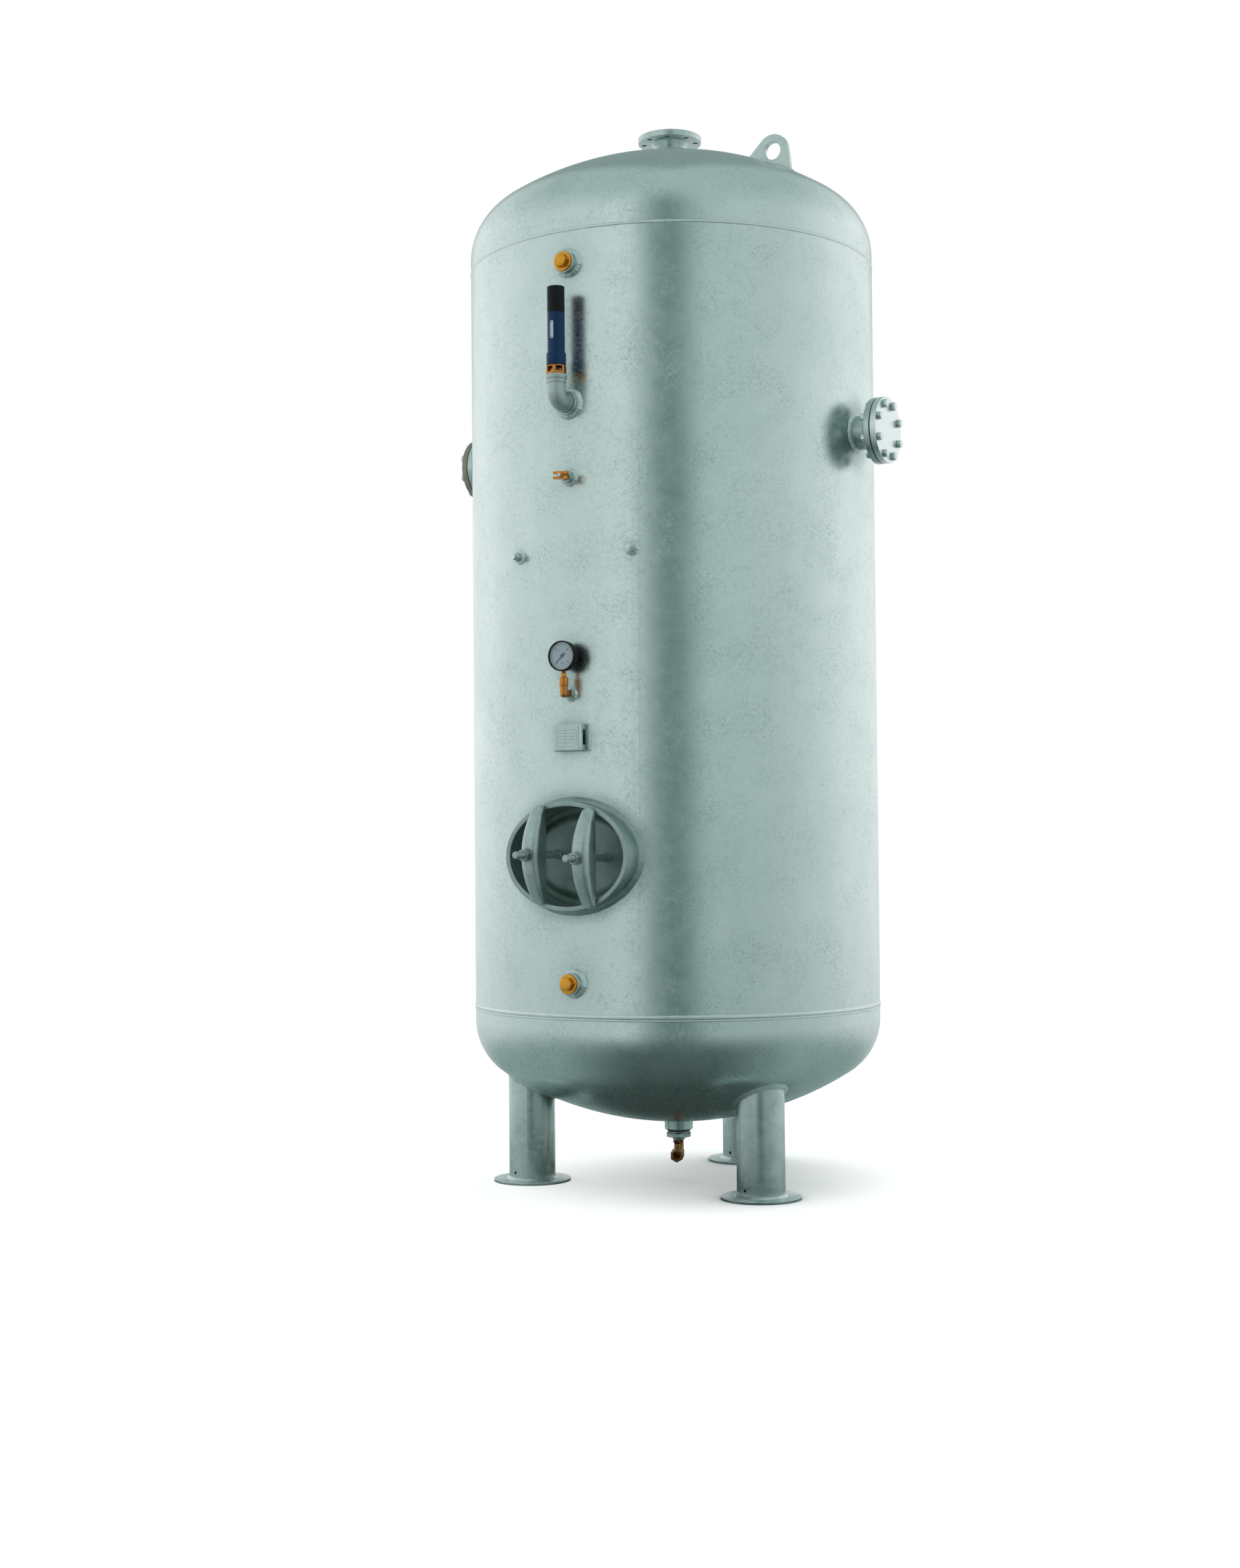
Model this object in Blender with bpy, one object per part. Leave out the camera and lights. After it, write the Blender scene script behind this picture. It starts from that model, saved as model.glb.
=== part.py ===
"""Upright galvanised air receiver tank on three pipe legs.

Units are metres and +Z is up. The origin is on the floor, at the middle of the space that the
whole part fills. The shapes are laid out round the tank's own axis, which stands AXIS_BEHIND
behind the origin, because the manway studs reach out in front. The line of fittings runs up
the front, at -Y, and the two flanged nozzles stand at +X and -X. An azimuth is counted in
degrees from the front, towards +X.
"""

import math

import bmesh
import bpy
from mathutils import Matrix, Vector

# Vessel
SHELL_RADIUS = 0.700
SHELL_WALL = 0.008
CYLINDER_LENGTH = 2.5425
CROWN_RADIUS = 1.120
KNUCKLE_RADIUS = 0.2156
HEAD_WALL = 0.008
STRAIGHT_FLANGE = 0.045
GROUND_CLEARANCE = 0.2065
SEAM_BEAD_HEIGHT = 0.003
SEAM_BEAD_WIDTH = 0.009

# Legs
LEG_CIRCLE = 0.509
LEG_AZIMUTHS = {"front_right_leg": 60.0, "front_left_leg": -60.0, "rear_leg": 180.0}
LEG_PIPE_RADIUS = 0.0795
LEG_PIPE_WALL = 0.0045
FOOT_RADIUS = 0.1325
FOOT_THICKNESS = 0.010
LEG_VENT_RADIUS = 0.005
LEG_VENT_HEIGHT = 0.034
LEG_VENT_AZIMUTH = -15.0

# Flanged nozzles, DN 100
NOZZLE_PIPE_RADIUS = 0.05715
NOZZLE_PIPE_WALL = 0.0045
HUB_RADIUS = 0.0655
HUB_LENGTH = 0.022
FLANGE_RADIUS = 0.110
FLANGE_THICKNESS = 0.020
BOLT_CIRCLE = 0.090
BOLT_COUNT = 8
BOLT_RADIUS = 0.008
BOLT_ACROSS_FLATS = 0.024
BOLT_HEAD_HEIGHT = 0.013
BOLT_NUT_HEIGHT = 0.013
BOLT_END = 0.006
BOLT_CLEARANCE = 0.001
GASKET_THICKNESS = 0.003
SIDE_NOZZLE_HEIGHTS = {"right": 2.529, "left": 2.541}
SIDE_NOZZLE_REACH = 0.089
TOP_NOZZLE_REACH = 0.0885
NOZZLE_INNER_END = 0.012

# Lifting lugs
LUG_CIRCLE = 0.403
LUG_EYE_RADIUS = 0.030
LUG_RIM_RADIUS = 0.057
LUG_EYE_ABOVE_HEAD = 0.052
LUG_FOOT_INWARD = 0.100
LUG_FOOT_OUTWARD = 0.068
LUG_THICKNESS = 0.020

# Plugged sockets
PLUG_BELOW_UPPER_SEAM = 0.11026
PLUG_ABOVE_LOWER_SEAM = 0.10974
PLUG_SOCKET_RADIUS = 0.037
PLUG_SOCKET_REACH = 0.031
PLUG_THREAD_RADIUS = 0.02095
PLUG_THREAD_LENGTH = 0.018
PLUG_COLLAR_RADIUS = 0.0315
PLUG_COLLAR_HEIGHT = 0.006
PLUG_ACROSS_FLATS = 0.040
PLUG_TURN = 4.0
PLUG_HEX_HEIGHT = 0.017

# Safety valve
SAFETY_BELOW_UPPER_SEAM = 0.5672618
SAFETY_SOCKET_RADIUS = 0.039
SAFETY_SOCKET_REACH = 0.027
SAFETY_STANDOFF = 0.078
SAFETY_PIPE_RADIUS = 0.0297
SAFETY_PIPE_BORE = 0.021
SAFETY_BEND_RADIUS = 0.0305
SAFETY_COLLAR_RADIUS = 0.034
SAFETY_COLLAR_HEIGHT = 0.013
SAFETY_RIM_RADIUS = 0.0315
SAFETY_RIM_HEIGHT = 0.026
SAFETY_END_RADIUS = 0.033
SAFETY_END_LENGTH = 0.012
SAFETY_ELBOW_RISE = 0.080
SAFETY_THREAD_RADIUS = 0.0239
SAFETY_THREAD_LENGTH = 0.016
SAFETY_BASE_ACROSS_FLATS = 0.058
SAFETY_FACE_AZIMUTH = 48.0
SAFETY_BASE_HEIGHT = 0.0306
SAFETY_CHAMBER_RADIUS = 0.0205
SAFETY_INLET_RADIUS = 0.013
SAFETY_SEAT_HEIGHT = 0.007
SAFETY_WINDOW_WIDTH = 0.022
SAFETY_WINDOW_HEIGHT = 0.018
SAFETY_SKIRT_RADIUS = 0.0315
SAFETY_SKIRT_HEIGHT = 0.042
SAFETY_BODY_RADIUS = 0.028
SAFETY_BODY_HEIGHT = 0.127
SAFETY_BODY_WALL = 0.0045
SAFETY_CEILING = 0.104
SAFETY_CAP_HEIGHT = 0.0835
SAFETY_NECK_RADIUS = 0.020
SAFETY_NECK_HEIGHT = 0.036
SAFETY_DISC_RADIUS = 0.0175
SAFETY_DISC_THICKNESS = 0.006
SAFETY_STEM_RADIUS = 0.005
SAFETY_LIFT = 0.005
SPRING_RADIUS = 0.0135
SPRING_WIRE = 0.0026
SPRING_TURNS = 8

# Test connection
TEST_BELOW_UPPER_SEAM = 0.8052618
TEST_SOCKET_RADIUS = 0.0205
TEST_SOCKET_REACH = 0.028
TEST_THREAD_RADIUS = 0.0083
TEST_THREAD_LENGTH = 0.014
TEST_NECK_RADIUS = 0.011
TEST_NECK_LENGTH = 0.022
TEST_PLATE_LENGTH = 0.053
TEST_TURN = -2.6
TEST_PLATE_WIDTH = 0.025
TEST_PLATE_THICKNESS = 0.010
TEST_SLOT_WIDTH = 0.008
TEST_SLOT_LENGTH = 0.017
TEST_HUB_HEIGHT = 0.003
TEST_SCREW_RADIUS = 0.003
TEST_SCREW_LENGTH = 0.012
TEST_SCREW_HEAD_RADIUS = 0.0057
TEST_SCREW_HEAD_HEIGHT = 0.005

# Bracket studs
STUDS_BELOW_UPPER_SEAM = 1.0452618
STUD_AZIMUTH = 17.4
STUD_BOSS_RADIUS = 0.0150
STUD_BOSS_REACH = 0.022
STUD_WASHER_RADIUS = 0.0138
STUD_WASHER_THICKNESS = 0.003
STUD_ACROSS_FLATS = 0.0195
STUD_HEAD_HEIGHT = 0.010

# Pressure gauge
GAUGE_HEIGHT = 1.645
GAUGE_SOCKET_RADIUS = 0.0165
GAUGE_SOCKET_REACH = 0.020
GAUGE_STANDOFF = 0.047
GAUGE_PIPE_RADIUS = 0.0125
GAUGE_BORE = 0.004
GAUGE_BORE_BEND = 0.006
GAUGE_THREAD_RADIUS = 0.0088
GAUGE_THREAD_LENGTH = 0.014
GAUGE_INLET_RADIUS = 0.0108
GAUGE_ELBOW_RISE = 0.025
GAUGE_ADAPTOR_RADIUS = 0.0143
GAUGE_ADAPTOR_HEIGHT = 0.027
GAUGE_NECK_RADIUS = 0.0078
GAUGE_NECK_HEIGHT = 0.004
GAUGE_NUT_ACROSS_FLATS = 0.020
GAUGE_NUT_HEIGHT = 0.007
GAUGE_STEM_RADIUS = 0.007
GAUGE_STEM_HEIGHT = 0.008
GAUGE_CASE_RADIUS = 0.049
GAUGE_CASE_WALL = 0.003
GAUGE_CASE_BACK = 0.013
GAUGE_CASE_FRONT = 0.017
GAUGE_DIAL_DEPTH = 0.008
GAUGE_DIAL_THICKNESS = 0.001
GAUGE_GLASS_THICKNESS = 0.0015
GAUGE_BEZEL_LIP = 0.003
GAUGE_LIP_THICKNESS = 0.0015
POINTER_LENGTH = 0.034
POINTER_TAIL = 0.012
POINTER_WIDTH = 0.003
POINTER_THICKNESS = 0.0008
POINTER_HUB_RADIUS = 0.005
POINTER_PIN_RADIUS = 0.0015
POINTER_PIN_HEIGHT = 0.002
POINTER_REST_ANGLE = 225.0

# Nameplate on its bracket
NAMEPLATE_HEIGHT = 1.506
BRACKET_WIDTH = 0.112
BRACKET_HEIGHT = 0.084
BRACKET_DEPTH = 0.031
BRACKET_SHEET = 0.002
BRACKET_FOOT = 0.009
BRACKET_SLOT_HEIGHT = 0.048
BRACKET_SLOT_DEPTH = 0.021
NAMEPLATE_SIDE_MARGIN = 0.013
NAMEPLATE_END_MARGIN = 0.004
NAMEPLATE_THICKNESS = 0.001

# Oval manway
MANWAY_HEIGHT = 1.125
MANWAY_OPENING_WIDTH = 0.420
MANWAY_OPENING_HEIGHT = 0.320
MANWAY_RING_WALL = 0.016
MANWAY_RING_REACH = 0.045
MANWAY_RING_DEPTH = 0.110
MANWAY_GASKET_THICKNESS = 0.004
MANWAY_COVER_LAP = 0.020
MANWAY_COVER_THICKNESS = 0.010
MANWAY_PAD_INSET = 0.020
MANWAY_PAD_HEIGHT = 0.014
YOKE_SPACING = 0.184
YOKE_LINE_TILT = -3.5
YOKE_OVERLAP = 0.0155
YOKE_WIDTH = 0.065
YOKE_END_WIDTH = 0.036
YOKE_FRONT = 0.085
YOKE_BACK = 0.020
YOKE_END_THICKNESS = 0.014
YOKE_TIP_SHARE = 0.55
YOKE_TIP_TAPER = 9.0
YOKE_STATIONS = 12
MANWAY_STUD_RADIUS = 0.012
MANWAY_STUD_END = 0.155
MANWAY_STUD_CLEARANCE = 0.0015
MANWAY_NUT_ACROSS_FLATS = 0.036
MANWAY_NUT_HEIGHT = 0.0215
MANWAY_WASHER_RADIUS = 0.022
MANWAY_WASHER_THICKNESS = 0.003

# Drain
DRAIN_BOSS_RADIUS = 0.049
DRAIN_BOSS_HEIGHT = 0.034
DRAIN_BOSS_CHAMFER = 0.003
DRAIN_THREAD_RADIUS = 0.0376
DRAIN_THREAD_LENGTH = 0.018
DRAIN_THREAD_SHOWING = 0.010
DRAIN_BUSH_ACROSS_FLATS = 0.083
DRAIN_BUSH_TURN = 58.0
DRAIN_BUSH_HEIGHT = 0.016
DRAIN_COLLAR_RADIUS = 0.0215
DRAIN_COLLAR_HEIGHT = 0.010
DRAIN_AZIMUTH = 24.0
DRAIN_AXIS_DROP = 0.0425
DRAIN_PIPE_RADIUS = 0.0165
DRAIN_BORE = 0.0115
DRAIN_BEND_RADIUS = 0.021
DRAIN_ELBOW_REACH = 0.030
VALVE_LENGTH = 0.075
VALVE_END_MARGIN = 0.001
VALVE_END_LENGTH = 0.016
VALVE_WALL = 0.0029
VALVE_END_RECESS = 0.0008
VALVE_MOUTH_DEPTH = 0.012
VALVE_MOUTH_RADIUS = 0.0135
VALVE_NECK_RADIUS = 0.009
VALVE_NECK_HEIGHT = 0.036
BALL_RADIUS = 0.016
BALL_CLEARANCE = 0.0006
BALL_STEM_RADIUS = 0.0042
BALL_STEM_HEIGHT = 0.048
BALL_STEM_CLEARANCE = 0.0004
LEVER_THICKNESS = 0.004
LEVER_WIDTH = 0.020
LEVER_BOSS_REACH = 0.011
LEVER_RAMP_START = 0.014
LEVER_RAMP_END = 0.034
LEVER_RISE = 0.015
LEVER_LENGTH = 0.082
LEVER_NUT_ACROSS_FLATS = 0.013
LEVER_NUT_HEIGHT = 0.006

# Fits and facets
GAP = 0.0003
HEAD_SEGMENTS = 48
HEAD_STEPS = 4
HEAD_INNER_STEPS = 3
ROUND_SEGMENTS = 20
SMALL_SEGMENTS = 12
TINY_SEGMENTS = 8
DIAL_SEGMENTS = 32
SPRING_STEPS = 10
SPRING_SIDES = 5
BEND_STEPS = 4
SMOOTH_ANGLE = math.radians(35)

# Values that follow from those above
KNUCKLE_CENTRE = SHELL_RADIUS - KNUCKLE_RADIUS
CROWN_DROP = math.sqrt((CROWN_RADIUS - KNUCKLE_RADIUS) ** 2 - KNUCKLE_CENTRE**2)
TANGENT_ANGLE = math.atan2(KNUCKLE_CENTRE, CROWN_DROP)
HEAD_DEPTH = STRAIGHT_FLANGE + CROWN_RADIUS - CROWN_DROP
LOWER_SEAM = GROUND_CLEARANCE + HEAD_DEPTH
UPPER_SEAM = LOWER_SEAM + CYLINDER_LENGTH
TANK_TOP = UPPER_SEAM + HEAD_DEPTH
SAFETY_HEIGHT = UPPER_SEAM - SAFETY_BELOW_UPPER_SEAM
TEST_HEIGHT = UPPER_SEAM - TEST_BELOW_UPPER_SEAM
STUD_HEIGHT = UPPER_SEAM - STUDS_BELOW_UPPER_SEAM
PLUG_HEIGHTS = {"upper": UPPER_SEAM - PLUG_BELOW_UPPER_SEAM,
                "lower": LOWER_SEAM + PLUG_ABOVE_LOWER_SEAM}
FLANGE_HOLE_RADIUS = BOLT_RADIUS + BOLT_CLEARANCE
VALVE_BODY_RADIUS = BALL_RADIUS + BALL_CLEARANCE + VALVE_WALL
VALVE_END_ACROSS_FLATS = 2 * (VALVE_BODY_RADIUS + VALVE_END_MARGIN)
AXIS_BEHIND = (MANWAY_RING_REACH + MANWAY_STUD_END - SEAM_BEAD_HEIGHT) / 2
INNER_REACH = SHELL_RADIUS - SHELL_WALL - 0.004

FINISHES = {
    "galvanised": ((0.55, 0.63, 0.61), 0.45, 0.85),
    "zinc": ((0.74, 0.80, 0.78), 0.30, 0.95),
    "brass": ((0.80, 0.46, 0.12), 0.35, 0.90),
    "blue_paint": ((0.02, 0.09, 0.27), 0.40, 0.0),
    "black_plastic": ((0.015, 0.016, 0.018), 0.55, 0.0),
    "gasket": ((0.05, 0.06, 0.06), 0.80, 0.0),
    "spring_steel": ((0.45, 0.46, 0.48), 0.30, 1.0),
    "dial": ((0.72, 0.77, 0.84), 0.50, 0.0),
    "glass": ((0.90, 0.95, 0.98), 0.05, 0.0),
    "red_plastic": ((0.30, 0.01, 0.03), 0.40, 0.0),
    "label": ((0.66, 0.70, 0.69), 0.35, 0.80),
}


# ---------------------------------------------------------------- frames and finishes


def clear_scene():
    for old in list(bpy.data.objects):
        bpy.data.objects.remove(old, do_unlink=True)


def outward(azimuth, height, reach=0.0):
    """A frame on the shell: local +Z points out of it, +X to the right and +Y up."""
    angle = math.radians(azimuth)
    right = Vector((math.cos(angle), math.sin(angle), 0.0))
    out = Vector((math.sin(angle), -math.cos(angle), 0.0))
    frame = Matrix((right, Vector((0.0, 0.0, 1.0)), out)).transposed().to_4x4()
    frame.translation = out * reach + Vector((0.0, 0.0, height))
    return frame


def upright(x=0.0, y=0.0, z=0.0):
    return Matrix.Translation((x, y, z))


def on_shell(azimuth, height):
    """The outward frame whose origin is on the shell's outer surface."""
    return outward(azimuth, height, SHELL_RADIUS)


def finish(name):
    known = bpy.data.materials.get(name)
    if known:
        return known
    colour, roughness, metallic = FINISHES[name]
    made = bpy.data.materials.new(name)
    made.use_nodes = True
    shader = made.node_tree.nodes["Principled BSDF"]
    shader.inputs["Base Color"].default_value = (*colour, 1.0)
    shader.inputs["Roughness"].default_value = roughness
    shader.inputs["Metallic"].default_value = metallic
    made.diffuse_color = (*colour, 1.0)
    return made


# ---------------------------------------------------------------- shapes, as bmesh


def turned(profile, segments):
    """A solid turned about Z. A profile that starts and ends on the axis stays open there."""
    shape = bmesh.new()
    points = [shape.verts.new((radius, 0.0, height)) for radius, height in profile]
    pairs = list(zip(points, points[1:]))
    if profile[0][0] > 0.0 or profile[-1][0] > 0.0:
        pairs.append((points[-1], points[0]))
    edges = [shape.edges.new(pair) for pair in pairs]
    bmesh.ops.spin(shape, geom=points + edges, axis=(0, 0, 1), cent=(0, 0, 0),
                   angle=2 * math.pi, steps=segments, use_merge=True)
    bmesh.ops.remove_doubles(shape, verts=shape.verts, dist=1e-7)
    bmesh.ops.recalc_face_normals(shape, faces=shape.faces)
    return shape


def stacked(loops):
    """A solid through loops of points, each loop with as many points, closed at both ends."""
    shape = bmesh.new()
    rings = [[shape.verts.new(point) for point in loop] for loop in loops]
    for lower, upper in zip(rings, rings[1:]):
        for i, corner in enumerate(lower):
            j = (i + 1) % len(lower)
            shape.faces.new((corner, lower[j], upper[j], upper[i]))
    shape.faces.new(rings[0])
    shape.faces.new(rings[-1])
    bmesh.ops.recalc_face_normals(shape, faces=shape.faces)
    return shape


def prism(outline, low, high):
    return stacked([[(x, y, z) for x, y in outline] for z in (low, high)])


def sleeve(outer, inner, low, high):
    """A tube between two outlines that have as many points as each other."""
    shape = bmesh.new()
    rings = [[shape.verts.new((x, y, z)) for x, y in outline]
             for outline, z in ((outer, low), (outer, high), (inner, high), (inner, low))]
    for ring, following in zip(rings, rings[1:] + rings[:1]):
        for i, corner in enumerate(ring):
            j = (i + 1) % len(ring)
            shape.faces.new((corner, ring[j], following[j], following[i]))
    bmesh.ops.recalc_face_normals(shape, faces=shape.faces)
    return shape


def round_bar(radius, low, high, segments=SMALL_SEGMENTS):
    return turned([(0.0, low), (radius, low), (radius, high), (0.0, high)], segments)


def ellipse(half_width, half_height, segments):
    angles = [2 * math.pi * i / segments for i in range(segments)]
    return [(half_width * math.cos(a), half_height * math.sin(a)) for a in angles]


def hexagon(across_flats, turn=0.0):
    corner = across_flats / math.sqrt(3)
    angles = [math.radians(60 * i + turn) for i in range(6)]
    return [(corner * math.cos(a), corner * math.sin(a)) for a in angles]


def rectangle(width, height):
    x, y = width / 2, height / 2
    return [(-x, -y), (x, -y), (x, y), (-x, y)]


def swept(path, radius, segments):
    """A round bar along a path that lies in the YZ plane."""
    loops = []
    for i, (y, z) in enumerate(path):
        before, after = path[max(i - 1, 0)], path[min(i + 1, len(path) - 1)]
        along = Vector((0.0, after[0] - before[0], after[1] - before[1])).normalized()
        across = along.cross(Vector((1.0, 0.0, 0.0)))
        centre = Vector((0.0, y, z))
        angles = [2 * math.pi * k / segments for k in range(segments)]
        loops.append([centre + radius * (Vector((math.cos(a), 0.0, 0.0)) + math.sin(a) * across)
                      for a in angles])
    return stacked(loops)


# ---------------------------------------------------------------- objects


def add(name, shape, frame, look):
    """Turns a bmesh into a named object that stands in the given frame."""
    mesh = bpy.data.meshes.new(name)
    shape.to_mesh(mesh)
    shape.free()
    mesh.materials.append(finish(look))
    mesh.shade_smooth()
    mesh.set_sharp_from_angle(angle=SMOOTH_ANGLE)
    made = bpy.data.objects.new(name, mesh)
    bpy.context.scene.collection.objects.link(made)
    made.matrix_world = upright(y=AXIS_BEHIND) @ frame
    return made


def tool(name, shape, frame):
    """A hidden object that only cuts or joins."""
    made = add(name, shape, frame, "galvanised")
    made.hide_render = True
    made.display_type = "WIRE"
    return made


def combine(target, other, operation):
    change = target.modifiers.new(other.name, "BOOLEAN")
    change.object = other
    change.operation = operation
    change.solver = "EXACT"


def cut(target, shape, frame):
    other = tool(f"cutter_{target.name}_{len(target.modifiers)}", shape, frame)
    combine(target, other, "DIFFERENCE")


def join(target, shape, frame):
    other = tool(f"joiner_{target.name}_{len(target.modifiers)}", shape, frame)
    combine(target, other, "UNION")


# ---------------------------------------------------------------- vessel


def head_profile(offset, start_radius, steps=HEAD_STEPS):
    """Points of a dished head from start_radius out to its rim, above its seam.

    The offset moves the surface outwards along its own normal.
    """
    crown, knuckle = CROWN_RADIUS + offset, KNUCKLE_RADIUS + offset
    centre = STRAIGHT_FLANGE - CROWN_DROP
    first = math.asin(start_radius / crown)
    points = []
    for i in range(steps):
        angle = first + (TANGENT_ANGLE - first) * i / steps
        points.append((crown * math.sin(angle), centre + crown * math.cos(angle)))
    for i in range(steps + 1):
        angle = TANGENT_ANGLE + (math.pi / 2 - TANGENT_ANGLE) * i / steps
        points.append((KNUCKLE_CENTRE + knuckle * math.sin(angle),
                       STRAIGHT_FLANGE + knuckle * math.cos(angle)))
    return points


def head_height(radius):
    """How far the outside of a head stands above its seam at this distance from the axis."""
    return STRAIGHT_FLANGE - CROWN_DROP + math.sqrt(CROWN_RADIUS**2 - radius**2)


def head_solid(start_radius):
    """A head, seam down, with the half of the weld bead that lies on it and an open middle."""
    outside = head_profile(0.0, start_radius)
    inside = head_profile(-HEAD_WALL, start_radius, HEAD_INNER_STEPS)
    bead = [(SHELL_RADIUS, GAP / 2 + SEAM_BEAD_WIDTH),
            (SHELL_RADIUS + SEAM_BEAD_HEIGHT, GAP / 2 + SEAM_BEAD_WIDTH / 3),
            (SHELL_RADIUS + SEAM_BEAD_HEIGHT, GAP / 2),
            (SHELL_RADIUS - HEAD_WALL, GAP / 2)]
    return outside + bead + inside[::-1]


def make_shell():
    low, high = LOWER_SEAM + GAP / 2, UPPER_SEAM - GAP / 2
    rim = SHELL_RADIUS + SEAM_BEAD_HEIGHT
    inner = SHELL_RADIUS - SHELL_WALL
    profile = [(inner, low), (rim, low), (rim, low + SEAM_BEAD_WIDTH / 3),
               (SHELL_RADIUS, low + SEAM_BEAD_WIDTH), (SHELL_RADIUS, high - SEAM_BEAD_WIDTH),
               (rim, high - SEAM_BEAD_WIDTH / 3), (rim, high), (inner, high)]
    shell = add("shell", turned(profile, HEAD_SEGMENTS), upright(), "galvanised")
    for azimuth, height, radius in shell_holes():
        hole = round_bar(radius + GAP, -0.1, 0.1, ROUND_SEGMENTS)
        cut(shell, hole, on_shell(azimuth, height))
    cut(shell, prism(manway_outline(MANWAY_RING_WALL + GAP), -0.15, 0.1),
        on_shell(0.0, MANWAY_HEIGHT))


def shell_holes():
    """Azimuth, height and radius of each round piece that is welded through the shell."""
    return [
        (90.0, SIDE_NOZZLE_HEIGHTS["right"], NOZZLE_PIPE_RADIUS),
        (-90.0, SIDE_NOZZLE_HEIGHTS["left"], NOZZLE_PIPE_RADIUS),
        (0.0, PLUG_HEIGHTS["upper"], PLUG_SOCKET_RADIUS),
        (0.0, PLUG_HEIGHTS["lower"], PLUG_SOCKET_RADIUS),
        (0.0, SAFETY_HEIGHT, SAFETY_SOCKET_RADIUS),
        (0.0, TEST_HEIGHT, TEST_SOCKET_RADIUS),
        (0.0, GAUGE_HEIGHT, GAUGE_SOCKET_RADIUS),
        (STUD_AZIMUTH, STUD_HEIGHT, STUD_BOSS_RADIUS),
        (-STUD_AZIMUTH, STUD_HEIGHT, STUD_BOSS_RADIUS),
    ]


def make_heads():
    top = turned(head_solid(NOZZLE_PIPE_RADIUS + GAP), HEAD_SEGMENTS)
    add("top_head", top, upright(z=UPPER_SEAM), "galvanised")

    bore = DRAIN_THREAD_RADIUS + GAP
    crown, inside = head_height(DRAIN_BOSS_RADIUS), head_height(0.0) - HEAD_WALL
    rim = HEAD_DEPTH + DRAIN_BOSS_HEIGHT
    profile = head_solid(DRAIN_BOSS_RADIUS)
    profile[0] = (DRAIN_BOSS_RADIUS, crown)
    profile[-1] = (bore, inside)
    boss = [(bore, rim), (DRAIN_BOSS_RADIUS - DRAIN_BOSS_CHAMFER, rim),
            (DRAIN_BOSS_RADIUS, rim - DRAIN_BOSS_CHAMFER)]
    bottom = turned(boss + profile, HEAD_SEGMENTS)
    flip = Matrix.Rotation(math.pi, 4, "X")
    add("bottom_head", bottom, upright(z=LOWER_SEAM) @ flip, "galvanised")


def head_cutter(start_radius):
    """A head's outside, a gap larger, filled from its seam to its crown."""
    surface = head_profile(GAP, start_radius)
    profile = [(0.0, surface[0][1])] + surface + [(SHELL_RADIUS + GAP, 0.0), (0.0, 0.0)]
    return turned(profile, HEAD_SEGMENTS)


def make_legs():
    flip = Matrix.Rotation(math.pi, 4, "X")
    bore = LEG_PIPE_RADIUS - LEG_PIPE_WALL
    profile = [(0.0, 0.0), (FOOT_RADIUS, 0.0), (FOOT_RADIUS, FOOT_THICKNESS),
               (LEG_PIPE_RADIUS, FOOT_THICKNESS), (LEG_PIPE_RADIUS, LOWER_SEAM),
               (bore, LOWER_SEAM), (bore, FOOT_THICKNESS), (0.0, FOOT_THICKNESS)]
    for name, azimuth in LEG_AZIMUTHS.items():
        foot = outward(azimuth, 0.0, LEG_CIRCLE).translation
        leg = add(name, turned(profile, ROUND_SEGMENTS), upright(*foot), "galvanised")
        cut(leg, head_cutter(DRAIN_BOSS_RADIUS), upright(z=LOWER_SEAM) @ flip)
        vent = outward(LEG_VENT_AZIMUTH, LEG_VENT_HEIGHT)
        vent.translation += foot
        hole = round_bar(LEG_VENT_RADIUS, bore - 0.01, LEG_PIPE_RADIUS + 0.01, TINY_SEGMENTS)
        cut(leg, hole, vent)


def tangent_point(centre, radius, outside, side):
    """Where a line from an outside point touches a circle, on the side given as +1 or -1."""
    gap = Vector(outside) - Vector(centre)
    angle = math.atan2(gap.y, gap.x) + side * math.acos(radius / gap.length)
    return centre[0] + radius * math.cos(angle), centre[1] + radius * math.sin(angle)


def make_lugs():
    """Each lug is a plate on the tank's X axis, drawn in its own plane and cut by the head."""
    eye = (LUG_CIRCLE, UPPER_SEAM + head_height(LUG_CIRCLE) + LUG_EYE_ABOVE_HEAD)
    feet = [(LUG_CIRCLE - LUG_FOOT_INWARD, -1), (LUG_CIRCLE + LUG_FOOT_OUTWARD, 1)]
    inner, outer = [(x, UPPER_SEAM + head_height(x)) for x, _ in feet]
    first = tangent_point(eye, LUG_RIM_RADIUS, outer, 1)
    last = tangent_point(eye, LUG_RIM_RADIUS, inner, -1)
    start = math.atan2(first[1] - eye[1], first[0] - eye[0])
    end = math.atan2(last[1] - eye[1], last[0] - eye[0])
    steps = SMALL_SEGMENTS
    arc = [start + (end - start) * i / steps for i in range(steps + 1)]
    rim = [(eye[0] + LUG_RIM_RADIUS * math.cos(a), eye[1] + LUG_RIM_RADIUS * math.sin(a))
           for a in arc]
    below = UPPER_SEAM + head_height(LUG_CIRCLE + LUG_FOOT_OUTWARD) - HEAD_WALL
    outline = [(inner[0], below), (outer[0], below), outer] + rim + [inner]
    for name, azimuth in (("right_lifting_lug", 0.0), ("left_lifting_lug", 180.0)):
        frame = outward(azimuth, 0.0)
        half = LUG_THICKNESS / 2
        lug = add(name, prism(outline, -half, half), frame, "galvanised")
        cut(lug, head_cutter(NOZZLE_PIPE_RADIUS + GAP), upright(z=UPPER_SEAM))
        hole = round_bar(LUG_EYE_RADIUS, -LUG_THICKNESS, LUG_THICKNESS, ROUND_SEGMENTS)
        cut(lug, hole, frame @ upright(eye[0], eye[1]))


# ---------------------------------------------------------------- flanged nozzles


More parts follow.
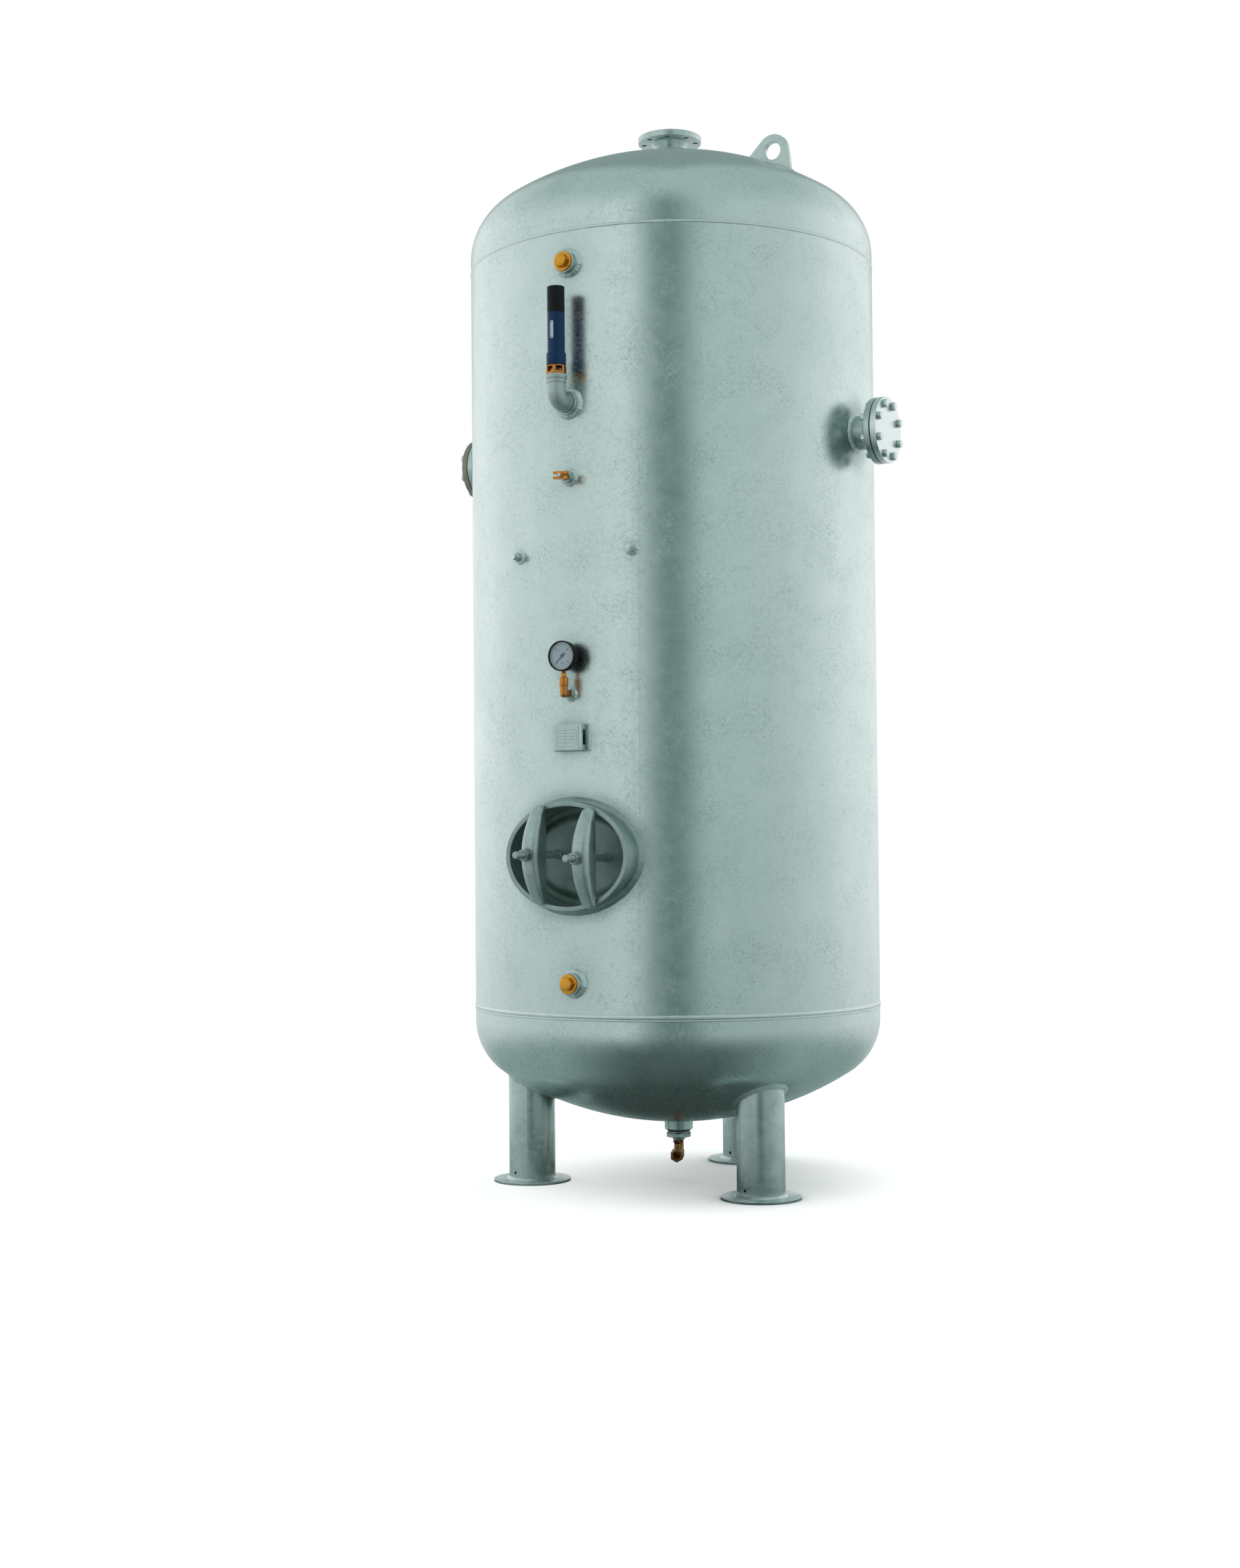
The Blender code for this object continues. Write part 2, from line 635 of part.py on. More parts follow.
def bolt_places(count=BOLT_COUNT):
    """Points of the bolt circle, which straddle the flange's centre lines."""
    angles = [2 * math.pi * (i + 0.5) / count for i in range(count)]
    return [(BOLT_CIRCLE * math.cos(a), BOLT_CIRCLE * math.sin(a)) for a in angles]


def cut_bolt_holes(flange, frame, low, high):
    for x, y in bolt_places():
        hole = round_bar(FLANGE_HOLE_RADIUS, low, high, TINY_SEGMENTS)
        cut(flange, hole, frame @ upright(x, y))


def make_nozzle(name, frame, inner_end):
    """A welding-neck flange on a pipe stub. The frame's origin is on the flange's face."""
    bore = NOZZLE_PIPE_RADIUS - NOZZLE_PIPE_WALL
    profile = [(bore, inner_end), (NOZZLE_PIPE_RADIUS, inner_end),
               (NOZZLE_PIPE_RADIUS, -FLANGE_THICKNESS - HUB_LENGTH),
               (HUB_RADIUS, -FLANGE_THICKNESS), (FLANGE_RADIUS, -FLANGE_THICKNESS),
               (FLANGE_RADIUS, 0.0), (bore, 0.0)]
    nozzle = add(name, turned(profile, ROUND_SEGMENTS), frame, "galvanised")
    cut_bolt_holes(nozzle, frame, -FLANGE_THICKNESS - 0.004, 0.01)


def bolt_shape():
    """A bolt with its nut run up tight. Z = 0 is the face that the head bears on."""
    grip = 2 * FLANGE_THICKNESS + GASKET_THICKNESS + 2 * GAP
    nut_top = -grip - GAP
    nut_low = nut_top - BOLT_NUT_HEIGHT
    return nut_low, nut_top


def make_bolt(name, frame):
    nut_low, nut_top = bolt_shape()
    head = prism(hexagon(BOLT_ACROSS_FLATS), GAP, GAP + BOLT_HEAD_HEIGHT)
    bolt = add(name, head, frame, "zinc")
    shank = round_bar(BOLT_RADIUS, nut_low - BOLT_END, BOLT_HEAD_HEIGHT / 2, TINY_SEGMENTS)
    join(bolt, shank, frame)
    join(bolt, prism(hexagon(BOLT_ACROSS_FLATS), nut_low, nut_top), frame)


def make_side_flange(side, azimuth):
    face = outward(azimuth, SIDE_NOZZLE_HEIGHTS[side], SHELL_RADIUS + SIDE_NOZZLE_REACH)
    inner_end = -SIDE_NOZZLE_REACH - SHELL_WALL - NOZZLE_INNER_END
    make_nozzle(f"{side}_nozzle", face, inner_end)
    bore = NOZZLE_PIPE_RADIUS - NOZZLE_PIPE_WALL
    rim = BOLT_CIRCLE - FLANGE_HOLE_RADIUS
    ring = sleeve(ellipse(rim, rim, ROUND_SEGMENTS), ellipse(bore, bore, ROUND_SEGMENTS),
                  GAP, GAP + GASKET_THICKNESS)
    add(f"{side}_gasket", ring, face, "gasket")
    low = GASKET_THICKNESS + 2 * GAP
    high = low + FLANGE_THICKNESS
    blind = add(f"{side}_blind_flange", round_bar(FLANGE_RADIUS, low, high, ROUND_SEGMENTS),
                face, "zinc")
    return face, blind, low, high


def make_side_flanges():
    """The right bolts are pieces of their own, and the left ones are joined to their flange."""
    face, blind, low, high = make_side_flange("right", 90.0)
    cut_bolt_holes(blind, face, low - 0.01, high + 0.01)
    for i, (x, y) in enumerate(bolt_places(), 1):
        make_bolt(f"right_flange_bolt_{i}", face @ upright(x, y, high))

    face, blind, low, high = make_side_flange("left", -90.0)
    nut_low, nut_top = bolt_shape()
    for x, y in bolt_places():
        place = face @ upright(x, y, high)
        hexes = hexagon(BOLT_ACROSS_FLATS)
        join(blind, prism(hexes, -BOLT_HEAD_HEIGHT / 4, GAP + BOLT_HEAD_HEIGHT), place)
        shank = round_bar(BOLT_RADIUS, nut_low - BOLT_END, -BOLT_HEAD_HEIGHT / 2, TINY_SEGMENTS)
        join(blind, shank, place)
        join(blind, prism(hexes, nut_low, nut_top), place)


def make_top_nozzle():
    face = upright(z=TANK_TOP + TOP_NOZZLE_REACH)
    make_nozzle("top_nozzle", face, -TOP_NOZZLE_REACH - HEAD_WALL - NOZZLE_INNER_END)


# ---------------------------------------------------------------- sockets and plugs


def make_socket(name, azimuth, height, radius, bore, reach):
    """A threaded socket welded through the shell."""
    inner_end = INNER_REACH - SHELL_RADIUS
    ring = sleeve(ellipse(radius, radius, ROUND_SEGMENTS), ellipse(bore, bore, ROUND_SEGMENTS),
                  inner_end, reach)
    add(name, ring, on_shell(azimuth, height), "galvanised")


def make_plugs():
    for place, height in PLUG_HEIGHTS.items():
        make_socket(f"{place}_socket", 0.0, height, PLUG_SOCKET_RADIUS,
                    PLUG_THREAD_RADIUS + GAP, PLUG_SOCKET_REACH)
        seat = outward(0.0, height, SHELL_RADIUS + PLUG_SOCKET_REACH)
        top = GAP + PLUG_COLLAR_HEIGHT
        profile = [(0.0, -PLUG_THREAD_LENGTH), (PLUG_THREAD_RADIUS, -PLUG_THREAD_LENGTH),
                   (PLUG_THREAD_RADIUS, GAP), (PLUG_COLLAR_RADIUS, GAP),
                   (PLUG_COLLAR_RADIUS, top), (0.0, top)]
        plug = add(f"{place}_plug", turned(profile, ROUND_SEGMENTS), seat, "brass")
        hexes = prism(hexagon(PLUG_ACROSS_FLATS, PLUG_TURN), top / 2, top + PLUG_HEX_HEIGHT)
        join(plug, hexes, seat)


def make_bracket_studs():
    for side, sign in (("left", -1), ("right", 1)):
        frame = on_shell(sign * STUD_AZIMUTH, STUD_HEIGHT)
        neck = STUD_BOSS_REACH + STUD_WASHER_THICKNESS
        profile = [(0.0, INNER_REACH - SHELL_RADIUS), (STUD_BOSS_RADIUS, INNER_REACH - SHELL_RADIUS),
                   (STUD_BOSS_RADIUS, STUD_BOSS_REACH), (STUD_WASHER_RADIUS, STUD_BOSS_REACH),
                   (STUD_WASHER_RADIUS, neck + STUD_HEAD_HEIGHT / 2),
                   (0.0, neck + STUD_HEAD_HEIGHT / 2)]
        stud = add(f"{side}_bracket_stud", turned(profile, SMALL_SEGMENTS), frame, "galvanised")
        join(stud, prism(hexagon(STUD_ACROSS_FLATS), neck, neck + STUD_HEAD_HEIGHT), frame)


# ---------------------------------------------------------------- elbows


def elbow_path(bend, inlet, outlet):
    """From -Z round to +Y, in the YZ plane. The two legs would meet at the origin."""
    angles = [math.pi / 2 * i / BEND_STEPS for i in range(BEND_STEPS + 1)]
    arc = [(bend * (1 - math.cos(a)), -bend * (1 - math.sin(a))) for a in angles]
    return [(0.0, -inlet)] + arc + [(outlet, 0.0)]


def make_elbow(name, frame, look, radius, bore, bend, inlet, outlet, extras=()):
    """A bent pipe. The extras are solid shapes with their frames, which the bore runs through."""
    path = elbow_path(bend, inlet, outlet)
    elbow = add(name, swept(path, radius, ROUND_SEGMENTS), frame, look)
    for shape, place in extras:
        join(elbow, shape, place)
    longer = elbow_path(bend, inlet + 0.05, outlet + 0.1)
    cut(elbow, swept(longer, bore, SMALL_SEGMENTS), frame)
    return elbow


# ---------------------------------------------------------------- safety valve


def make_safety_valve():
    make_socket("safety_socket", 0.0, SAFETY_HEIGHT, SAFETY_SOCKET_RADIUS,
                SAFETY_PIPE_RADIUS + GAP, SAFETY_SOCKET_REACH)
    corner = outward(0.0, SAFETY_HEIGHT, SHELL_RADIUS + SAFETY_STANDOFF)
    base = upright(*corner.translation) @ upright(z=SAFETY_ELBOW_RISE)
    low = SAFETY_SOCKET_REACH + GAP - SAFETY_STANDOFF
    extras = [
        (round_bar(SAFETY_COLLAR_RADIUS, -SAFETY_COLLAR_HEIGHT, 0.0, ROUND_SEGMENTS), base),
        (round_bar(SAFETY_RIM_RADIUS, -SAFETY_RIM_HEIGHT, -SAFETY_COLLAR_HEIGHT / 2,
                   ROUND_SEGMENTS), base),
        (round_bar(SAFETY_END_RADIUS, low, low + SAFETY_END_LENGTH, ROUND_SEGMENTS), corner),
    ]
    elbow = make_elbow("safety_elbow", corner, "galvanised", SAFETY_PIPE_RADIUS,
                       SAFETY_PIPE_BORE, SAFETY_BEND_RADIUS,
                       SAFETY_STANDOFF + SHELL_WALL / 2, SAFETY_ELBOW_RISE - GAP, extras)
    mouth = round_bar(SAFETY_THREAD_RADIUS + GAP, -SAFETY_THREAD_LENGTH - GAP, 0.01,
                      ROUND_SEGMENTS)
    cut(elbow, mouth, base)
    make_safety_base(base)
    make_safety_bonnet(base)
    make_safety_disc(base)


def make_safety_base(base):
    """The brass seat, a hexagon whose six windows let the air out."""
    floor = SAFETY_SEAT_HEIGHT - 0.003
    body = prism(hexagon(SAFETY_BASE_ACROSS_FLATS, SAFETY_FACE_AZIMUTH), GAP, SAFETY_BASE_HEIGHT)
    seat = add("safety_valve_base", body, base, "brass")
    thread = round_bar(SAFETY_THREAD_RADIUS, -SAFETY_THREAD_LENGTH, SAFETY_SEAT_HEIGHT / 2,
                       ROUND_SEGMENTS)
    join(seat, thread, base)
    rim = SAFETY_INLET_RADIUS + 0.003
    chamber = [(0.0, -0.03), (SAFETY_INLET_RADIUS, -0.03), (SAFETY_INLET_RADIUS, SAFETY_SEAT_HEIGHT),
               (rim, SAFETY_SEAT_HEIGHT), (rim, floor), (SAFETY_CHAMBER_RADIUS, floor),
               (SAFETY_CHAMBER_RADIUS, 0.05), (0.0, 0.05)]
    cut(seat, turned(chamber, ROUND_SEGMENTS), base)
    middle = (floor + SAFETY_BASE_HEIGHT) / 2
    for i in range(6):
        direction = outward(60.0 * i + SAFETY_FACE_AZIMUTH, middle)
        oval = ellipse(SAFETY_WINDOW_WIDTH / 2, SAFETY_WINDOW_HEIGHT / 2, TINY_SEGMENTS)
        window = prism(oval, SAFETY_CHAMBER_RADIUS / 2, 0.05)
        cut(seat, window, base @ direction)


def make_safety_bonnet(base):
    low = SAFETY_BASE_HEIGHT + GAP
    shoulder = low + SAFETY_SKIRT_HEIGHT
    top = shoulder + SAFETY_BODY_HEIGHT
    ceiling = low + SAFETY_CEILING
    bore = SAFETY_BODY_RADIUS - SAFETY_BODY_WALL
    guide = SAFETY_STEM_RADIUS + GAP
    guide_top = ceiling + 0.034
    profile = [(0.0, guide_top), (guide, guide_top), (guide, ceiling), (bore, ceiling),
               (bore, low), (SAFETY_SKIRT_RADIUS, low), (SAFETY_SKIRT_RADIUS, shoulder - 0.003),
               (SAFETY_BODY_RADIUS, shoulder), (SAFETY_BODY_RADIUS, top),
               (SAFETY_NECK_RADIUS, top), (SAFETY_NECK_RADIUS, top + SAFETY_NECK_HEIGHT),
               (0.0, top + SAFETY_NECK_HEIGHT)]
    add("safety_bonnet", turned(profile, ROUND_SEGMENTS), base, "blue_paint")
    foot = top + GAP
    cup = SAFETY_NECK_RADIUS + GAP
    roof = foot + SAFETY_NECK_HEIGHT + GAP
    peak = foot + SAFETY_CAP_HEIGHT
    edge = SAFETY_BODY_RADIUS - 0.002
    profile = [(0.0, roof), (cup, roof), (cup, foot), (SAFETY_BODY_RADIUS, foot),
               (SAFETY_BODY_RADIUS, peak - 0.002), (edge, peak), (0.0, peak)]
    add("safety_cap", turned(profile, ROUND_SEGMENTS), base, "black_plastic")


def make_safety_disc(base):
    """The disc on its stem, and the spring that holds it on the seat."""
    low = SAFETY_SEAT_HEIGHT + GAP
    top = low + SAFETY_DISC_THICKNESS
    ceiling = SAFETY_BASE_HEIGHT + GAP + SAFETY_CEILING
    stem_top = ceiling + 0.034 - SAFETY_LIFT - 0.004
    profile = [(0.0, low), (SAFETY_DISC_RADIUS, low), (SAFETY_DISC_RADIUS, top),
               (SAFETY_STEM_RADIUS, top), (SAFETY_STEM_RADIUS, stem_top), (0.0, stem_top)]
    add("safety_disc", turned(profile, SMALL_SEGMENTS), base, "brass")
    first = top + GAP + SPRING_WIRE
    last = ceiling - GAP - SPRING_WIRE
    add("safety_spring", coil(SPRING_RADIUS, SPRING_WIRE, SPRING_TURNS, first, last), base,
        "spring_steel")


def coil(radius, wire, turns, low, high):
    """A compression spring whose end turns lie flat."""
    steps = turns * SPRING_STEPS
    sides = [2 * math.pi * k / SPRING_SIDES for k in range(SPRING_SIDES)]
    loops = []
    for i in range(steps + 1):
        turn = turns * i / steps
        rise = min(max((turn - 1) / (turns - 2), 0.0), 1.0)
        angle = 2 * math.pi * turn
        out = Vector((math.cos(angle), math.sin(angle), 0.0))
        centre = out * radius + Vector((0.0, 0.0, low + (high - low) * rise))
        if turn < 1:
            centre.z += 2.05 * wire * turn
        elif turn > turns - 1:
            centre.z -= 2.05 * wire * (turns - turn)
        else:
            centre.z += 2.05 * wire * (1 - 2 * rise)
        loops.append([centre + wire * (math.cos(a) * out + Vector((0.0, 0.0, math.sin(a))))
                      for a in sides])
    return stacked(loops)


# ---------------------------------------------------------------- test connection


def make_test_connection():
    make_socket("test_socket", 0.0, TEST_HEIGHT, TEST_SOCKET_RADIUS,
                TEST_THREAD_RADIUS + GAP, TEST_SOCKET_REACH)
    seat = (outward(0.0, TEST_HEIGHT, SHELL_RADIUS + TEST_SOCKET_REACH)
            @ Matrix.Rotation(math.radians(TEST_TURN), 4, "Z"))
    plate_low = GAP + TEST_NECK_LENGTH
    plate_top = plate_low + TEST_PLATE_THICKNESS
    hub_top = plate_top + TEST_HUB_HEIGHT
    profile = [(0.0, -TEST_THREAD_LENGTH), (TEST_THREAD_RADIUS, -TEST_THREAD_LENGTH),
               (TEST_THREAD_RADIUS, GAP), (TEST_NECK_RADIUS, GAP), (TEST_NECK_RADIUS, hub_top),
               (0.0, hub_top)]
    flange = add("test_flange", turned(profile, SMALL_SEGMENTS), seat, "brass")
    plate = prism(rectangle(TEST_PLATE_LENGTH, TEST_PLATE_WIDTH), plate_low, plate_top)
    join(flange, plate, seat)
    for side in (-1, 1):
        slot = prism(rectangle(2 * TEST_SLOT_LENGTH, TEST_SLOT_WIDTH), plate_low - 0.01,
                     plate_top + 0.01)
        cut(flange, slot, seat @ upright(x=side * TEST_PLATE_LENGTH / 2))
    bore = round_bar(TEST_SCREW_RADIUS + GAP, hub_top - TEST_SCREW_LENGTH - 0.003, hub_top + 0.01,
                     TINY_SEGMENTS)
    cut(flange, bore, seat)
    low, high = hub_top + GAP, hub_top + GAP + TEST_SCREW_HEAD_HEIGHT
    profile = [(0.0, hub_top - TEST_SCREW_LENGTH), (TEST_SCREW_RADIUS, hub_top - TEST_SCREW_LENGTH),
               (TEST_SCREW_RADIUS, low), (TEST_SCREW_HEAD_RADIUS, low),
               (TEST_SCREW_HEAD_RADIUS, high), (0.0, high)]
    add("test_screw", turned(profile, SMALL_SEGMENTS), seat, "zinc")


# ---------------------------------------------------------------- pressure gauge


def make_gauge():
    """A tight elbow, an adaptor and a lock nut in one piece, which carry the gauge's stem."""
    make_socket("gauge_socket", 0.0, GAUGE_HEIGHT, GAUGE_SOCKET_RADIUS,
                GAUGE_THREAD_RADIUS + GAP, GAUGE_SOCKET_REACH)
    corner = outward(0.0, GAUGE_HEIGHT, SHELL_RADIUS + GAUGE_STANDOFF)
    riser = upright(*corner.translation)
    inlet = GAUGE_STANDOFF - GAUGE_SOCKET_REACH - GAP
    adaptor_top = GAUGE_ELBOW_RISE + GAUGE_ADAPTOR_HEIGHT
    nut_low = adaptor_top + GAUGE_NECK_HEIGHT
    nut_top = nut_low + GAUGE_NUT_HEIGHT
    neck_top = (nut_low + nut_top) / 2
    angles = [math.pi / 2 * i / BEND_STEPS for i in range(BEND_STEPS + 1)]
    ball = [(GAUGE_PIPE_RADIUS * math.sin(a), -GAUGE_PIPE_RADIUS * math.cos(a)) for a in angles]
    profile = ball + [(GAUGE_PIPE_RADIUS, GAUGE_ELBOW_RISE), (GAUGE_ADAPTOR_RADIUS, GAUGE_ELBOW_RISE),
                      (GAUGE_ADAPTOR_RADIUS, adaptor_top), (GAUGE_NECK_RADIUS, adaptor_top),
                      (GAUGE_NECK_RADIUS, neck_top), (0.0, neck_top)]
    elbow = add("gauge_elbow", turned(profile, ROUND_SEGMENTS), riser, "brass")
    join(elbow, prism(hexagon(GAUGE_NUT_ACROSS_FLATS), nut_low, nut_top), riser)
    join(elbow, round_bar(GAUGE_INLET_RADIUS, -inlet, 0.0), corner)
    thread = round_bar(GAUGE_THREAD_RADIUS, -inlet - GAUGE_THREAD_LENGTH, -inlet / 2)
    join(elbow, thread, corner)
    bore = elbow_path(GAUGE_BORE_BEND, inlet + 2 * GAUGE_THREAD_LENGTH, nut_top + 0.01)
    cut(elbow, swept(bore, GAUGE_BORE, TINY_SEGMENTS), corner)
    make_gauge_case(riser @ upright(z=nut_top + GAP))


def make_gauge_case(foot):
    """The case stands on its stem. Local +Z of the dial's frame points out of the shell."""
    drop = GAUGE_STEM_HEIGHT + GAUGE_CASE_RADIUS
    centre = foot.translation + Vector((0.0, 0.0, drop))
    dial = outward(0.0, centre.z, -centre.y)
    bore = GAUGE_CASE_RADIUS - GAUGE_CASE_WALL
    back, front = -GAUGE_CASE_BACK, GAUGE_CASE_FRONT
    lip = bore - GAUGE_BEZEL_LIP
    ledge = front - GAUGE_LIP_THICKNESS
    step = ledge - GAUGE_GLASS_THICKNESS - 2 * GAP
    shelf = bore - GAUGE_BEZEL_LIP
    dial_top = front - GAUGE_DIAL_DEPTH
    dial_low = dial_top - GAUGE_DIAL_THICKNESS
    profile = [(0.0, back), (GAUGE_CASE_RADIUS - 0.004, back), (GAUGE_CASE_RADIUS, back + 0.004),
               (GAUGE_CASE_RADIUS, front - 0.002), (GAUGE_CASE_RADIUS - 0.002, front),
               (lip, front), (lip, ledge), (bore, ledge), (bore, step), (shelf, step),
               (shelf, dial_low - GAP), (0.0, dial_low - GAP)]
    case = add("gauge_case", turned(profile, DIAL_SEGMENTS), dial, "black_plastic")
    stem = round_bar(GAUGE_STEM_RADIUS, 0.0, GAUGE_STEM_HEIGHT + GAUGE_CASE_WALL, SMALL_SEGMENTS)
    join(case, stem, foot)

    face = shelf - GAP
    hub = POINTER_PIN_RADIUS
    ring = sleeve(ellipse(face, face, DIAL_SEGMENTS), ellipse(hub + GAP, hub + GAP, DIAL_SEGMENTS),
                  dial_low, dial_top)
    add("gauge_dial", ring, dial, "dial")
    glass = bore - GAP
    low = step + GAP
    add("gauge_glass", round_bar(glass, low, low + GAUGE_GLASS_THICKNESS, DIAL_SEGMENTS), dial, "glass")

    axis = dial @ upright(z=dial_top)
    angle = math.radians(POINTER_REST_ANGLE)
    turn = axis @ Matrix.Rotation(angle, 4, "Z")
    rise = POINTER_PIN_HEIGHT
    half = POINTER_WIDTH / 2
    outline = [(-POINTER_TAIL, -half), (0.0, -half), (POINTER_LENGTH, -half / 4),
               (POINTER_LENGTH, half / 4), (0.0, half), (-POINTER_TAIL, half)]
    pointer = add("gauge_pointer", prism(outline, rise, rise + POINTER_THICKNESS), turn,
                  "black_plastic")
    hub_low, hub_high = rise - POINTER_THICKNESS, rise + POINTER_THICKNESS * 1.25
    join(pointer, round_bar(POINTER_HUB_RADIUS, hub_low, hub_high), turn)
    pin = round_bar(hub, -GAUGE_DIAL_THICKNESS, rise, TINY_SEGMENTS)
    join(pointer, pin, turn)


# ---------------------------------------------------------------- nameplate


def make_nameplate():
    """A folded bracket, open above and below, with its feet on the shell."""
    half, deep, sheet = BRACKET_WIDTH / 2, BRACKET_DEPTH, BRACKET_SHEET
    foot = half + BRACKET_FOOT
    seat = math.sqrt(SHELL_RADIUS**2 - half**2) - SHELL_RADIUS + GAP
    under = seat - 2 * sheet
    right = [(half - sheet, deep - sheet), (half - sheet, under), (foot, under),
             (foot, seat + sheet / 2), (half, seat + sheet / 2), (half, deep)]
    left = [(-x, z) for x, z in right[::-1]]
    outline = right + left
    low, high = -BRACKET_HEIGHT / 2, BRACKET_HEIGHT / 2
    bracket_shape = stacked([[(x, y, z) for x, z in outline] for y in (low, high)])
    frame = on_shell(0.0, NAMEPLATE_HEIGHT)
    bracket = add("nameplate_bracket", bracket_shape, frame, "galvanised")
    cut(bracket, round_bar(SHELL_RADIUS + GAP, LOWER_SEAM, UPPER_SEAM, HEAD_SEGMENTS), upright())
    slot = prism(rectangle(0.02, BRACKET_SLOT_HEIGHT), -BRACKET_SLOT_DEPTH / 2,
                 BRACKET_SLOT_DEPTH / 2)
    cut(bracket, slot, frame @ upright(half, 0.0, deep / 2))
    plate = rectangle(BRACKET_WIDTH - 2 * NAMEPLATE_SIDE_MARGIN,
                      BRACKET_HEIGHT - 2 * NAMEPLATE_END_MARGIN)
    add("nameplate", prism(plate, deep + GAP, deep + GAP + NAMEPLATE_THICKNESS), frame, "label")


# ---------------------------------------------------------------- manway


def manway_outline(margin, segments=40):
    """The oval opening, grown by a margin."""
    return ellipse(MANWAY_OPENING_WIDTH / 2 + margin, MANWAY_OPENING_HEIGHT / 2 + margin, segments)


def make_manway():
    face = outward(0.0, MANWAY_HEIGHT, SHELL_RADIUS + MANWAY_RING_REACH)
    ring = sleeve(manway_outline(MANWAY_RING_WALL), manway_outline(0.0), -MANWAY_RING_DEPTH, 0.0)
    add("manway_ring", ring, face, "galvanised")
    seat = -MANWAY_RING_DEPTH - GAP
    low = seat - MANWAY_GASKET_THICKNESS
    seal = sleeve(manway_outline(MANWAY_RING_WALL), manway_outline(0.001), low, seat)
    add("manway_gasket", seal, face, "gasket")
    make_cover(face, low - GAP)
    for side, (x, y) in stud_places().items():
        make_yoke(side, face @ upright(x, y))


def stud_places():
    """The two studs stand on a line through the cover's middle that is a little off level."""
    tilt = math.radians(YOKE_LINE_TILT)
    x, y = YOKE_SPACING / 2 * math.cos(tilt), YOKE_SPACING / 2 * math.sin(tilt)
    return {"left": (-x, -y), "right": (x, y)}


def make_cover(face, top):
    """The cover closes the ring from inside, and its two welded studs pass through the yokes."""
    rings = [(MANWAY_COVER_LAP, top - MANWAY_COVER_THICKNESS), (MANWAY_COVER_LAP, top),
             (-MANWAY_PAD_INSET, top), (-2 * MANWAY_PAD_INSET, top + MANWAY_PAD_HEIGHT)]
    loops = [[(x, y, z) for x, y in manway_outline(margin)] for margin, z in rings]
    cover = add("manway_cover", stacked(loops), face, "galvanised")
    for x, y in stud_places().values():
        stud = round_bar(MANWAY_STUD_RADIUS, top + MANWAY_PAD_HEIGHT / 2, MANWAY_STUD_END)
        join(cover, stud, face @ upright(x, y))


def make_yoke(side, frame):
    """A bridge that bears on the ring above and below, arched outwards, with a nut on it."""
    x = YOKE_SPACING / 2
    rise = math.sqrt(1 - (x / (MANWAY_OPENING_WIDTH / 2)) ** 2)
    reach = MANWAY_OPENING_HEIGHT / 2 * rise + YOKE_OVERLAP
    loops = []
    for i in range(YOKE_STATIONS + 1):
        share = 2 * i / YOKE_STATIONS - 1
        along = math.sin(share * math.pi / 2)
        bow = 1 - along**2
        tip = min(YOKE_TIP_SHARE + YOKE_TIP_TAPER * (1 - abs(along)), 1.0)
        half = tip * (YOKE_END_WIDTH + (YOKE_WIDTH - YOKE_END_WIDTH) * bow) / 2
        back = GAP + YOKE_BACK * bow
        front = YOKE_END_THICKNESS + (YOKE_FRONT - YOKE_END_THICKNESS) * bow
        edge = min(half, (front - back) / 2) / 2
        y = reach * along
        loops.append([(half, y, back), (half, y, front - edge), (half - edge, y, front),
                      (edge - half, y, front), (-half, y, front - edge), (-half, y, back)])
    yoke = add(f"{side}_yoke", stacked(loops), frame, "galvanised")
    hole = round_bar(MANWAY_STUD_RADIUS + MANWAY_STUD_CLEARANCE, -0.02, YOKE_FRONT + 0.02)
    cut(yoke, hole, frame)
    low = YOKE_FRONT + GAP
    high = low + MANWAY_WASHER_THICKNESS
    bore = MANWAY_STUD_RADIUS + GAP
    washer = round_bar(MANWAY_WASHER_RADIUS, low, high, ROUND_SEGMENTS)
    nut = add(f"{side}_yoke_nut", washer, frame, "zinc")
    join(nut, prism(hexagon(MANWAY_NUT_ACROSS_FLATS, 12.0), high - 0.001,
                    high + MANWAY_NUT_HEIGHT), frame)
    cut(nut, round_bar(bore, low - 0.01, high + MANWAY_NUT_HEIGHT + 0.01, ROUND_SEGMENTS), frame)


# ---------------------------------------------------------------- drain


def make_drain():
    boss_face = GROUND_CLEARANCE - DRAIN_BOSS_HEIGHT
    hex_top = boss_face - DRAIN_THREAD_SHOWING
    hex_low = hex_top - DRAIN_BUSH_HEIGHT
    collar_low = hex_low - DRAIN_COLLAR_HEIGHT
    thread_top = boss_face + DRAIN_THREAD_LENGTH
    bush = add("drain_bush", prism(hexagon(DRAIN_BUSH_ACROSS_FLATS, DRAIN_BUSH_TURN), hex_low, hex_top),
               upright(), "galvanised")
    thread = round_bar(DRAIN_THREAD_RADIUS, hex_top - 0.001, thread_top, ROUND_SEGMENTS)
    join(bush, thread, upright())
    collar = round_bar(DRAIN_COLLAR_RADIUS, collar_low, hex_low + 0.001, ROUND_SEGMENTS)
    join(bush, collar, upright())
    bore = round_bar(DRAIN_BORE, collar_low - 0.01, thread_top + 0.01, SMALL_SEGMENTS)
    cut(bush, bore, upright())

    axis = collar_low - DRAIN_AXIS_DROP
    # The elbow comes down from the bush and turns outwards: its inlet points up.
    out = outward(DRAIN_AZIMUTH, axis)
    turned_over = out @ Matrix.Rotation(math.pi / 2, 4, "X")
    inlet = DRAIN_AXIS_DROP - GAP
    make_elbow("drain_elbow", turned_over, "brass", DRAIN_PIPE_RADIUS, DRAIN_BORE,
               DRAIN_BEND_RADIUS, inlet, DRAIN_ELBOW_REACH)
    make_drain_valve(out @ upright(z=DRAIN_ELBOW_REACH + GAP))


